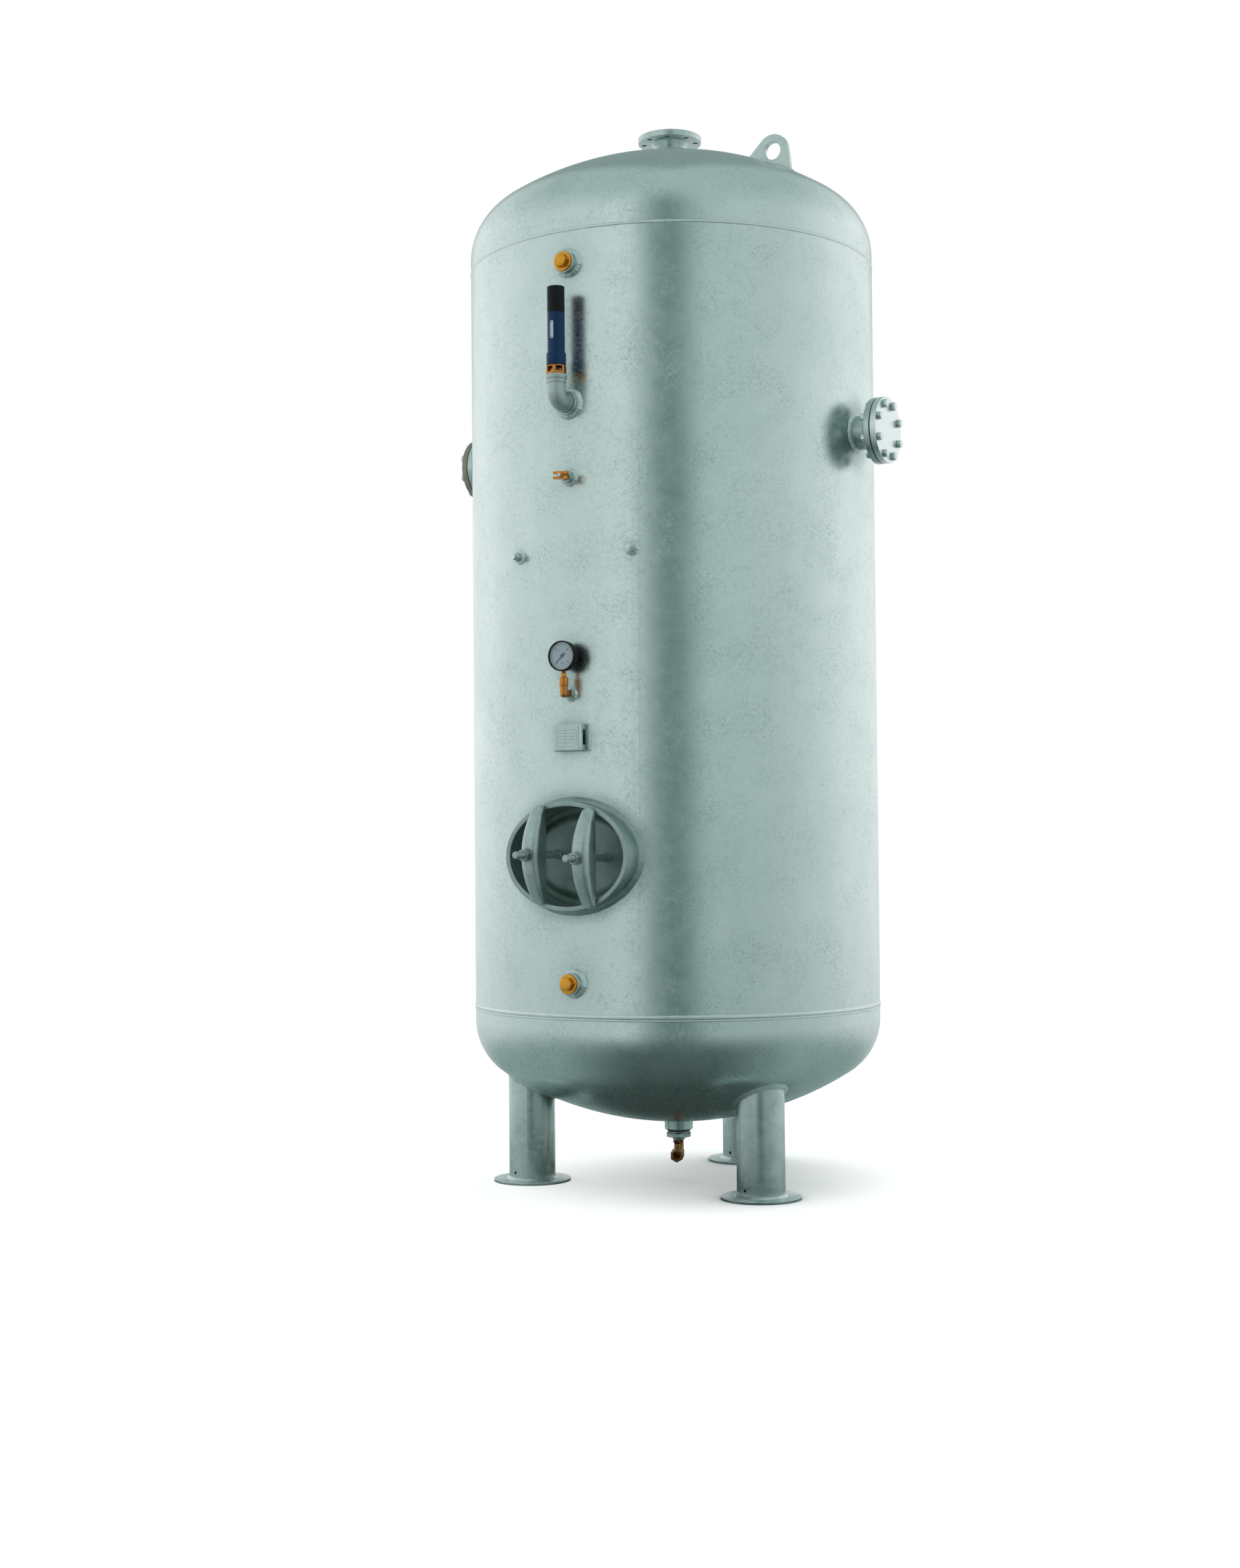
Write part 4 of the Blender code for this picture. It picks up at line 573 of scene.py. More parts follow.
LOOKS = {
    "shell_zinc": shell_zinc(),
    "galv": galv("galvanised_pipe", (0.50, 0.59, 0.57), (0.70, 0.775, 0.76), (0.22, 0.38)),
    "ring": galv("galvanised_ring", (0.27, 0.35, 0.33), (0.47, 0.55, 0.53), (0.30, 0.46), 70.0,
                 0.25, 0.0010, 0.45),
    "weld": galv("galvanised_weld", (0.74, 0.82, 0.80), (0.90, 0.95, 0.94), (0.34, 0.5), 140.0,
                 0.4, 0.0012, 0.14),
    "cast": galv("galvanised_casting", (0.40, 0.48, 0.46), (0.66, 0.73, 0.715), (0.34, 0.5), 55.0,
                 0.40, 0.0014, 0.55),
    "stud": galv("galvanised_stud", (0.36, 0.43, 0.41), (0.52, 0.59, 0.57), (0.30, 0.44), 120.0,
                 0.3, 0.0008, 0.6),
    "galv_soft": galv("galvanised_elbow", (0.47, 0.54, 0.53), (0.62, 0.68, 0.67), (0.42, 0.58), 45.0,
                      0.25, 0.0010, 0.5, 0.85),
    "cover": galv("galvanised_cover", (0.12, 0.175, 0.165), (0.33, 0.42, 0.40), (0.4, 0.6), 26.0,
                  0.3, 0.0012, 0.45, 0.85),
    "zinc": plain("zinc_plate", (0.72, 0.80, 0.78), (0.88, 0.94, 0.925), (0.28, 0.40), 1.0, 160.0),
    "turned_zinc": turned_zinc(),
    "brass": plain("brass_bright", (0.86, 0.37, 0.045), (0.97, 0.47, 0.075), (0.26, 0.36), 1.0, 90.0),
    "dull_brass": plain("brass_dull", (0.33, 0.15, 0.055), (0.48, 0.23, 0.085), (0.34, 0.5), 1.0,
                        110.0, 0.12, 0.0006),
    "copper": plain("brass_copper", (0.60, 0.22, 0.05), (0.78, 0.32, 0.08), (0.22, 0.34), 1.0,
                    120.0),
    "rubber": plain("gasket_sheet", (0.020, 0.024, 0.024), (0.045, 0.052, 0.050), (0.7, 0.9), 0.0,
                    200.0, 0.2),
    "black": plain("black_satin", (0.005, 0.006, 0.007), (0.009, 0.010, 0.012), (0.42, 0.55), 0.0,
                   300.0, 0.08, Specular_IOR_Level=0.25),
    "blue": plain("blue_gloss", (0.002, 0.034, 0.120), (0.004, 0.046, 0.150), (0.30, 0.40), 0.0,
                  90.0, 0.06, Specular_IOR_Level=0.28),
    "ptfe": plain("sealing_tape", (0.70, 0.78, 0.77), (0.88, 0.93, 0.92), (0.5, 0.7), 0.0, 220.0,
                  0.5, 0.001),
    "dial": plain("dial_enamel", (0.58, 0.66, 0.75), (0.64, 0.71, 0.80), (0.4, 0.5), 0.0, 40.0,
                  0.02, 0.0002, 0.2),
    "ink": plain("black_print", (0.012, 0.014, 0.020), (0.022, 0.024, 0.030), (0.5, 0.6), 0.0,
                 200.0, 0.02, 0.0001, 0.0),
    "red_ink": plain("red_print", (0.45, 0.015, 0.02), (0.55, 0.025, 0.03), (0.5, 0.6), 0.0,
                     200.0, 0.02, 0.0001, 0.0),
    "glass": glass(),
    "red_vinyl": plain("red_vinyl", (0.16, 0.004, 0.012), (0.26, 0.008, 0.022), (0.3, 0.42), 0.0,
                       120.0, 0.1),
    "label": plain("etched_label", (0.55, 0.64, 0.62), (0.72, 0.80, 0.78), (0.32, 0.45), 0.85,
                   70.0, 0.05),
    "spring": plain("spring_wire", (0.30, 0.32, 0.34), (0.46, 0.48, 0.50), (0.25, 0.4), 1.0),
    "rust": galv("brown_zinc", (0.30, 0.27, 0.20), (0.48, 0.45, 0.36), (0.45, 0.65), 80.0, 0.3,
                 0.001, 0.5, 0.5),
}

# ---------------------------------------------------------------- vessel


def head_profile(offset, start, steps=26):
    crown, knuckle = CROWN + offset, KNUCKLE + offset
    first = math.asin(start / crown)
    points = [(crown * math.sin(first + (TANGENT - first) * i / steps),
               STRAIGHT - DROP + crown * math.cos(first + (TANGENT - first) * i / steps))
              for i in range(steps)]
    for i in range(steps + 1):
        a = TANGENT + (math.pi / 2 - TANGENT) * i / steps
        points.append((KNUCKLE_CENTRE + knuckle * math.sin(a), STRAIGHT + knuckle * math.cos(a)))
    return points


def head_height(r):
    """The outside of a head above its seam, at any distance from the axis."""
    if r < CROWN * math.sin(TANGENT):
        return STRAIGHT - DROP + math.sqrt(CROWN**2 - r * r)
    return STRAIGHT + math.sqrt(max(KNUCKLE**2 - (r - KNUCKLE_CENTRE) ** 2, 0.0))


def head_skin(name, boss, outer_start, inner_start, at):
    """A dished head over a hole in its crown, which a boss may stand round."""
    outside, inside = head_profile(0.0, outer_start), head_profile(-WALL, inner_start)
    shape = turned(boss + outside + [(RADIUS, GAP), (RADIUS - WALL, GAP)] + inside[::-1], 192)
    piece(f"{name}_skin", placed(shape, at), "shell_zinc", stands_for=[name], edge=0, angle=40)


def make_vessel():
    inner, low, high = RADIUS - WALL, LOWER_SEAM + GAP, UPPER_SEAM - GAP
    shell = turned([(RADIUS, low), (RADIUS, high), (inner, high), (inner, low)], 192)
    hole = prism(oval(*(size + 0.0005 for size in MANWAY_OVAL)), -0.15, 0.1)
    hole = placed(hole, outward(0.0, MANWAY_HEIGHT, RADIUS))
    piece("shell_skin", boolean(shell, hole), "shell_zinc", stands_for=["shell"], edge=0, angle=40)
    head_skin("top_head", [], 0.0575, 0.0575, upright(z=UPPER_SEAM))
    bore, rim = 0.0379, DEPTH + 0.034
    boss = [(bore, rim), (0.046, rim), (0.049, rim - 0.003)]
    head_skin("bottom_head", boss, 0.049, bore, upright(z=LOWER_SEAM) @ spun(180, "X"))


def bead_band(name, z, width, height, ripple, seed):
    """A weld all round the shell, a low crown with small ripples."""
    rng = random.Random(seed)
    count = 720
    wave = [rng.uniform(-1, 1) for _ in range(count)]

    def section(k):
        near = (wave[k] + wave[k - 1] + wave[(k + 1) % count]) / 3
        out, wide = height * (1 + ripple * near), width * (1 + 0.4 * ripple * near) / 2
        return [(RADIUS + dr, z + dz) for dr, dz in
                ((-0.001, -wide), (out * 0.45, -wide * 0.78), (out, -wide * 0.3),
                 (out, wide * 0.3), (out * 0.45, wide * 0.78), (-0.001, wide))]

    piece(name, round_band(count, section), "weld", edge=0, angle=75)


def fillet_bead(name, matrix, edge_of, surface, wide, high, seed=1, count=160, ripple=0.16,
                look="weld", body="tank"):
    """A weld fillet round a piece that stands on a surface. edge_of(t) is a point of the piece's
    outline, and surface(x, y) is the height of what it stands on, all in the local frame."""
    rng = random.Random(seed)
    waves = [(turns, share, rng.uniform(0, 2 * math.pi)) for turns, share in
             ((5, 0.40), (11, 0.30), (23, 0.20), (41, 0.15))]
    points = [Vector(edge_of(k / count)) for k in range(count)]
    loops = []
    for k, p in enumerate(points):
        along = points[(k + 1) % count] - points[k - 1]
        out = Vector((along.y, -along.x)).normalized()
        turn = 2 * math.pi * k / count
        near = 1 + ripple * sum(share * math.sin(turns * turn + start)
                                for turns, share, start in waves)
        loop = []
        for f, h in ((-0.12, -0.10), (-0.10, 1.0), (0.10, 0.98), (0.48, 0.62), (0.82, 0.22),
                     (1.0, -0.02), (0.9, -0.10)):
            q = p + out * f * wide * (near if f > 0 else 1)
            loop.append((q.x, q.y, surface(q.x, q.y) + h * high * (near if h > 0 else 1)))
        loops.append(loop)
    piece(name, placed(stacked(loops, closed=True), matrix), look, body, edge=0, angle=80)


def oval_of(a, b):
    return lambda t: (a * math.cos(2 * math.pi * t), b * math.sin(2 * math.pi * t))


def circle_of(radius):
    return oval_of(radius, radius)


def on_round(x, _y):
    """The shell's surface in the frame of a piece that stands on it."""
    return math.sqrt(max(RADIUS * RADIUS - x * x, 0.0)) - RADIUS


def make_seams():
    bead_band("top_seam_bead", UPPER_SEAM, 0.011, 0.0016, 0.30, 3)
    bead_band("bottom_seam_bead_lower", LOWER_SEAM - 0.0060, 0.007, 0.0016, 0.20, 4)
    bead_band("bottom_seam_bead_upper", LOWER_SEAM + 0.0045, 0.016, 0.0022, 0.30, 5)
    # the lengthwise seam of the rolled shell, at the back
    rng = random.Random(12)
    count = 420
    loops = []
    for k in range(count):
        z = LOWER_SEAM + 0.02 + (UPPER_SEAM - LOWER_SEAM - 0.04) * k / (count - 1)
        w = 0.0055 * (1 + 0.2 * rng.uniform(-1, 1))
        h = 0.0022 * (1 + 0.25 * rng.uniform(-1, 1))
        loops.append([(x, math.sqrt(RADIUS * RADIUS - x * x) + dy, z) for x, dy in
                      ((-w, -0.001), (-w * 0.6, h * 0.7), (0.0, h), (w * 0.6, h * 0.7), (w, -0.001))])
    piece("lengthwise_seam_bead", placed(stacked(loops), spun(23)), "weld", edge=0, angle=75)


def make_leg(name, azimuth, seam_azimuth, below_head):
    """A pipe cut to the bottom head, on a round foot, with its welds and its own rolled seam."""
    foot = outward(azimuth, 0.0, LEG_REACH).translation
    centre = Vector((foot.x, foot.y))
    pipe = band(LEG_BORE, LEG_RADIUS, FOOT_THICK, LOWER_SEAM, 96)
    vent = placed(prism(oval(0.005, 0.005, 24), 0.065, 0.09), outward(-15.0, 0.034))
    pipe = placed(boolean(pipe, vent), upright(*foot))
    piece(f"{name}_pipe", boolean(pipe, below_head), "galv", stands_for=[name], edge=0, angle=35)
    disc = bar(FOOT_RADIUS, 0.0, FOOT_THICK, 96, 0.0012, 0.0022)
    piece(f"{name}_foot", placed(disc, upright(*foot)), "galv", edge=0, angle=40)
    fillet_bead(f"{name}_foot_bead", upright(*foot), circle_of(LEG_RADIUS),
                lambda x, y: FOOT_THICK, 0.010, 0.008, seed=int(azimuth) + 200)

    def dome(x, y):
        return head_height(min((centre + Vector((x, -y))).length, RADIUS - 1e-4)) - LOWER_SEAM

    fillet_bead(f"{name}_head_bead", upright(*centre) @ spun(180, "X"), circle_of(LEG_RADIUS), dome,
                0.013, 0.010, seed=int(azimuth) + 300, count=220)
    side = outward(seam_azimuth, 0.0, LEG_RADIUS)
    out, across = side.translation, side.to_3x3().col[0]
    top = LOWER_SEAM - head_height((foot + out).length) - 0.004
    seam = [[foot + out + across * w + out.normalized() * d + Vector((0, 0, z)) for w, d in
             ((-0.003, -0.001), (-0.0015, 0.0006), (0.0015, 0.0006), (0.003, -0.001))]
            for z in (0.016, 0.1, top)]
    piece(f"{name}_pipe_seam", stacked(seam), "galv", edge=0, angle=75)


def make_legs():
    head = head_profile(0.0, 0.01)[::-1]
    solid = turned([(0.0, 0.0), (RADIUS + 0.01, 0.0)] + head + [(0.0, head[-1][1])], 192)
    below_head = placed(solid, upright(z=LOWER_SEAM) @ spun(180, "X"))
    for name, azimuth, seam_azimuth in (("front_right_leg", 60.0, 38.0),
                                        ("front_left_leg", -60.0, 20.0), ("rear_leg", 180.0, 200.0)):
        make_leg(name, azimuth, seam_azimuth, below_head.copy())


def make_lugs():
    """Plates on the top head, each with an eye in a round end."""
    inner, outer, end_radius, eye_radius, half = 0.303, 0.471, 0.057, 0.030, 0.010
    eye = Vector((0.403, UPPER_SEAM + head_height(0.403) + 0.052))
    marks = []
    for reach, side in ((outer, 1), (inner, -1)):
        gap = Vector((reach, UPPER_SEAM + head_height(reach))) - eye
        marks.append(math.atan2(gap.y, gap.x) + side * math.acos(end_radius / gap.length))
    start, end = marks
    if end < start:
        end += 2 * math.pi
    rim = [eye + Vector(polar(end_radius, start + (end - start) * i / 40)) for i in range(41)]
    steps = [inner + (outer - inner) * i / 14 for i in range(15)]
    outline = [(reach, UPPER_SEAM + head_height(reach) + 0.0005) for reach in steps] + rim
    for name, azimuth in (("right_lifting_lug", 0.0), ("left_lifting_lug", 180.0)):
        hole = prism([eye + Vector(polar(eye_radius, a)) for a in angles(64)], -0.03, 0.03)
        plate = boolean(prism(outline, -half, half), hole)
        piece(f"{name}_plate", placed(plate, outward(azimuth, 0.0)), "galv", stands_for=[name],
              edge=0.0016, angle=40)
        fillet_bead(f"{name}_bead", upright(z=UPPER_SEAM) @ spun(azimuth),
                    lug_border(inner - 0.003, outer + 0.003, half),
                    lambda x, y: head_height(math.hypot(x, y)), 0.010, 0.010, seed=31, count=200)


def lug_border(inner, outer, half):
    """Round a lug's footprint, seen from above: each side takes a quarter of the way."""
    corners = [Vector(p) for p in ((inner, -half), (outer, -half), (outer, half), (inner, half))]

    def at(t):
        side = min(int(t * 4), 3)
        return corners[side].lerp(corners[(side + 1) % 4], t * 4 - side)

    return at


# ---------------------------------------------------------------- flanged nozzles


def bolt_circle(radius=0.090, count=8):
    return [polar(radius, 2 * math.pi * (i + 0.5) / count) for i in range(count)]


def holed(flange, low, high):
    holes = merged(*[placed(prism(oval(0.009, 0.009, 32), low, high), upright(x, y))
                     for x, y in bolt_circle()])
    return boolean(flange, holes)


def make_nozzle(name, place, inner_end, reach, surface):
    """A welding-neck flange on its pipe stub, with a root weld and a neck weld."""
    profile = [(NOZZLE_BORE, inner_end), (NOZZLE_RADIUS, inner_end),
               (NOZZLE_RADIUS, -0.042, 0.006), (0.0655, -FLANGE_THICK, 0.005),
               (FLANGE_RADIUS, -FLANGE_THICK, 0.0015), (FLANGE_RADIUS, 0.0, 0.0012),
               (NOZZLE_BORE, 0.0, 0.0008)]
    piece(f"{name}_fine", placed(holed(turned(profile, 96), -0.03, 0.01), place), "galv",
          stands_for=[name], edge=0, angle=32)
    fillet_bead(f"{name}_bead", place @ upright(z=-reach), circle_of(NOZZLE_RADIUS), surface, 0.011,
                0.011, seed=len(name))
    fillet_bead(f"{name}_neck_bead", place @ upright(z=-0.050), circle_of(0.0570),
                lambda x, y: 0.0, 0.0022, 0.006, seed=40, ripple=0.35)


def bolt(place, name, grip, stands_for):
    """A hexagon bolt with its nut at the back of the grip."""
    flats, end = 0.024, -grip - 0.019
    head = nut(flats, GAP + 0.0005, GAP + 0.0125, turn=random.uniform(0, 60))
    shank = turned([(0.0, end), (0.0068, end), (0.008, end + 0.0015), (0.008, 0.002), (0.0, 0.002)],
                   24)
    back = nut(flats, -grip - GAP - 0.013, -grip - GAP, turn=random.uniform(0, 60), top=False,
               bottom=True)
    mark = bar(0.0085, 0.0122, 0.0132, 24, rim=0.0004)
    piece(name, placed(merged(head, shank, back, mark), place), "zinc", stands_for=stands_for,
          edge=0.0004)


def make_side_nozzles():
    low, high = 0.0036, 0.0236
    for side, azimuth, height, look in (("right", 90.0, RIGHT_NOZZLE_HEIGHT, "turned_zinc"),
                                        ("left", -90.0, LEFT_NOZZLE_HEIGHT, "rust")):
        face = outward(azimuth, height, SIDE_FACE)
        make_nozzle(f"{side}_nozzle", face, -0.109, SIDE_FACE - RADIUS, on_round)
        piece(f"{side}_gasket_sheet", placed(band(0.054, 0.0815, GAP, 0.0028, 96), face), "rubber",
              stands_for=[f"{side}_gasket"], edge=0)
        blind = bar(FLANGE_RADIUS, low, high, 128, 0.0012, 0.0016)
        piece(f"{side}_blind_disc", placed(holed(blind, low - 0.01, high + 0.01), face), look,
              stands_for=[f"{side}_blind_flange"], edge=0, angle=32)
        for i, (x, y) in enumerate(bolt_circle(), 1):
            swap = [f"right_flange_bolt_{i}"] if side == "right" else []
            bolt(face @ upright(x, y, high), f"{side}_bolt_{i}", high + FLANGE_THICK, swap)


def make_top_nozzle():
    crown = head_height(0.0)
    make_nozzle("top_nozzle", upright(z=CROWN_HEIGHT + TOP_NECK), -0.1085, TOP_NECK + crown - DEPTH,
                lambda x, y: head_height(math.hypot(x, y)) - crown)


# ---------------------------------------------------------------- sockets, plugs and studs


def socket(name, azimuth, height, radius, bore, reach, bead=0.010):
    place = outward(azimuth, height, RADIUS)
    ring = turned([(bore, -0.012), (radius, -0.012), (radius, reach, 0.0022), (bore + 0.002, reach),
                   (bore, reach - 0.002)], 72)
    piece(f"{name}_fine", placed(ring, place), "galv", stands_for=[name], edge=0, angle=35)
    fillet_bead(f"{name}_bead", place, circle_of(radius), on_round, bead, bead * 0.9,
                seed=int(height * 100))


def make_plugs():
    reach = 0.031
    for place, height in PLUG_HEIGHTS.items():
        socket(f"{place}_socket", 0.0, height, 0.037, 0.0213, reach, 0.011)
        seat = outward(0.0, height, RADIUS + reach)
        collar = turned([(0.0, -0.018), (0.0205, -0.018), (0.0205, GAP), (0.0315, GAP, 0.0008),
                         (0.0315, 0.0063, 0.0014), (0.0, 0.0063)], 96)
        hexed = nut(0.040, 0.004, 0.0233, turn=4.0)
        dish = turned([(0.0, 0.0226), (0.0135, 0.0226), (0.0135, 0.02375, 0.0005),
                       (0.0, 0.02385)], 64)
        piece(f"{place}_plug_fine", placed(merged(collar, hexed, dish), seat), "brass",
              stands_for=[f"{place}_plug"], edge=0.0005)
        washer = band(0.0205, 0.0325, GAP, 0.0011, 72, rim=0.0004)
        piece(f"{place}_plug_washer", placed(washer, seat), "copper", edge=0)


def make_studs():
    for side, sign in (("left", -1), ("right", 1)):
        place = outward(sign * 17.4, STUD_HEIGHT, RADIUS)
        boss = bar(0.0150, -0.01, 0.022, 48, rim=0.0018)
        piece(f"{side}_stud_boss", placed(boss, place), "galv",
              stands_for=[f"{side}_bracket_stud"], edge=0, angle=35)
        washer = band(0.004, 0.0138, 0.0221, 0.025, 48, 0.0006, 0.0008)
        head = nut(0.0195, 0.0248, 0.035, turn=sign * 9.0)
        piece(f"{side}_stud_screw", placed(merged(washer, head), place), "zinc", edge=0.0004)
        fillet_bead(f"{side}_stud_bead", place, circle_of(0.0150), on_round, 0.009, 0.007,
                    seed=50 + sign)


# ---------------------------------------------------------------- safety valve


def elbow_path(bend, inlet, outlet, steps=18, straight=6):
    """From -Z round to +Y in the YZ plane. The legs would meet at the origin."""
    points = [(0.0, 0.0, -inlet + (inlet - bend) * k / straight) for k in range(straight)]
    for i in range(steps + 1):
        a = math.pi / 2 * i / steps
        points.append((0.0, bend * (1 - math.cos(a)), -bend * (1 - math.sin(a))))
    points += [(0.0, bend + (outlet - bend) * k / straight, 0.0) for k in range(1, straight + 1)]
    return points


def make_safety_valve():
    reach, arm, bend, pipe_radius = 0.027, 0.078, 0.0305, 0.0297
    socket("safety_socket", 0.0, SAFETY_HEIGHT, 0.039, 0.0301, reach, 0.012)
    corner = outward(0.0, SAFETY_HEIGHT, RADIUS + arm)
    base = upright(*corner.translation) @ upright(z=0.080)
    low = reach + GAP - arm
    pipe = placed(tube(elbow_path(bend, 0.0815, 0.0797), pipe_radius, 64), corner)
    collar = placed(turned([(0.0242, -0.026), (0.0315, -0.026, 0.0015), (0.0315, -0.014, 0.001),
                            (0.034, -0.0125, 0.0015), (0.034, 0.0, 0.0022), (0.0242, 0.0)], 72), base)
    foot = placed(band(0.020, 0.033, low, low + 0.012, 72, 0.0015, 0.002), corner)
    piece("safety_elbow_casting", merged(pipe, collar, foot), "galv_soft", stands_for=["safety_elbow"],
          edge=0, angle=40)
    for k, side in enumerate((1, -1), 1):
        line = [Vector(p) + Vector((side * pipe_radius, 0.0, 0.0))
                for p in elbow_path(bend, 0.048, 0.052)]
        piece(f"safety_elbow_seam_{k}", placed(tube(line, 0.0008, 8), corner), "galv_soft", edge=0)
    make_sealing_tape(base)
    make_safety_base(base)
    make_safety_bonnet(base)


def make_sealing_tape(base):
    """Tape and compound squeezed out of the joint."""
    rng = random.Random(5)
    count = 96
    wave = [rng.uniform(-1, 1) for _ in range(count)]

    def section(k):
        w = (wave[k] + wave[k - 1] + wave[k - 2]) / 3
        ragged = 0.0345 + 0.0012 * w
        return ((0.0270, -0.0010), (ragged, -0.0030 - 0.0035 * max(w, 0)),
                (ragged + 0.0006, -0.0008), (0.0325 + 0.0008 * w, 0.0012), (0.0270, 0.0006))

    piece("sealing_tape", placed(round_band(count, section), base), "ptfe", edge=0, angle=60)


def make_safety_base(base):
    """The brass seat, with six windows that let the air out."""
    turn = 48.0
    body = nut(0.058, GAP, 0.0306, turn=turn, bottom=True)
    body = boolean(body, bar(0.0235, -0.016, 0.0035, 48), "UNION")
    chamber = turned([(0.0, -0.03), (0.013, -0.03), (0.013, 0.007), (0.016, 0.007), (0.016, 0.004),
                      (0.0205, 0.004), (0.0205, 0.05), (0.0, 0.05)], 48)
    body = boolean(body, chamber)
    for i in range(6):
        window = prism(rounded(0.0215, 0.0175, 0.004), 0.010, 0.05)
        body = boolean(body, placed(window, outward(60.0 * i + turn, 0.0173)))
    piece("safety_seat_hexagon", placed(body, base), "copper", stands_for=["safety_valve_base"],
          edge=0.0005)
    disc = turned([(0.0, 0.0073), (0.0175, 0.0073, 0.0006), (0.0175, 0.0133, 0.0008),
                   (0.005, 0.0133), (0.005, 0.1599), (0.0, 0.1599)], 48)
    piece("safety_disc_fine", placed(disc, base), "brass", "safety_disc", ["safety_disc"], edge=0)


def make_safety_bonnet(base):
    low, shoulder, top, radius = 0.0309, 0.0729, 0.1999, 0.0280
    profile = [(0.0, 0.168), (0.0053, 0.168), (0.0053, 0.1349), (0.0235, 0.1349), (0.0235, low),
               (0.0315, low, 0.0008), (0.0315, shoulder - 0.004, 0.0015),
               (radius, shoulder - 0.001, 0.001), (radius, top, 0.0006), (0.020, top),
               (0.020, top + 0.036), (0.0, top + 0.036)]
    piece("safety_bonnet_fine", placed(turned(profile, 96), base), "blue",
          stands_for=["safety_bonnet"], edge=0, angle=35)
    foot, roof, peak = top + GAP, top + 0.0366, top + 0.0838
    cap = [(0.0, roof), (0.0203, roof), (0.0203, foot), (radius, foot, 0.0006),
           (radius, peak - 0.0030, 0.0008), (0.0262, peak - 0.0008, 0.0008), (0.0, peak - 0.0008)]
    piece("safety_cap_fine", placed(turned(cap, 96), base), "black", "safety_cap", ["safety_cap"],
          edge=0, angle=35)
    ring = [(0.0245, peak - 0.0022), (0.0279, peak - 0.0022), (0.0270, peak - 0.0002, 0.0005),
            (0.0245, peak - 0.0002)]
    piece("safety_cap_rim", placed(turned(ring, 96), base), "blue", "safety_cap", edge=0)
    make_valve_plate(base @ outward(1.5, 0.1420, 0.0281))


def make_valve_plate(at):
    """The small riveted plate on the bonnet, and the vent above it."""
    bend, sunk = 0.0284, 0.0281
    plate = stacked([[(bend * math.sin(x / bend), y, bend * math.cos(x / bend) - sunk + z)
                      for x, y in rounded(0.0115, 0.058, 0.0056)] for z in (-0.0006, 0.0009)])
    piece("valve_plate", placed(plate, at), "ptfe", edge=0.0003)
    for k, y in enumerate((0.0235, -0.0235), 1):
        dot = turned([(0.0, 0.0006), (0.0020, 0.0006), (0.0018, 0.0013), (0.0, 0.0016)], 16)
        piece(f"valve_plate_rivet_{k}", placed(dot, at @ upright(0, y)), "rubber", edge=0)
    hole = turned([(0.0, -0.002), (0.0032, -0.002), (0.0032, 0.0006, 0.0003), (0.0, 0.0004)], 24)
    piece("valve_vent", placed(hole, at @ upright(0, 0.0355)), "rubber", edge=0)


# ---------------------------------------------------------------- test connection


def make_test_connection():
    reach = 0.028
    socket("test_socket", 0.0, TEST_HEIGHT, 0.0205, 0.0086, reach, 0.009)
    seat = outward(0.0, TEST_HEIGHT, RADIUS + reach) @ spun(-2.6)
    body = turned([(0.0, -0.014), (0.0083, -0.014), (0.0083, GAP), (0.011, GAP, 0.0006),
                   (0.011, 0.0353, 0.0008), (0.0, 0.0353)], 48)
    plate = prism(rounded(0.053, 0.025, 0.0022), 0.0223, 0.0323)
    slots = merged(*[placed(prism(rounded(0.034, 0.008, 0.0038), 0.01, 0.05),
                            upright(s * 0.0265)) for s in (-1, 1)])
    plate = boolean(plate, slots)
    piece("test_flange_body", placed(boolean(plate, body, "UNION"), seat), "copper",
          stands_for=["test_flange"], edge=0.0005)
    low, high = 0.0356, 0.0406
    screw = turned([(0.0, 0.024), (0.003, 0.024), (0.003, low), (0.0057, low, 0.0004),
                    (0.0057, high, 0.0008), (0.0026, high), (0.0026, high - 0.0022),
                    (0.0, high - 0.0022)], 40)
    piece("test_screw_fine", placed(screw, seat), "zinc", stands_for=["test_screw"], edge=0,
          angle=35)


# ---------------------------------------------------------------- pressure gauge

DIAL_TOP = 0.009  # the dial's face, in front of the case's own middle


def text(name, words, size, place, depth=0.0001):
    """Flat figures as a mesh, centred in the given frame."""
    curve = bpy.data.curves.new(name, "FONT")
    curve.body, curve.size, curve.extrude = words, size, depth
    curve.align_x, curve.align_y = "CENTER", "CENTER"
    obj = bpy.data.objects.new(name, curve)
    scene.collection.objects.link(obj)
    graph = bpy.context.evaluated_depsgraph_get()
    bm = bmesh.new()
    bm.from_mesh(obj.evaluated_get(graph).to_mesh())
    bpy.data.objects.remove(obj)
    bpy.data.curves.remove(curve)
    return placed(bm, place)


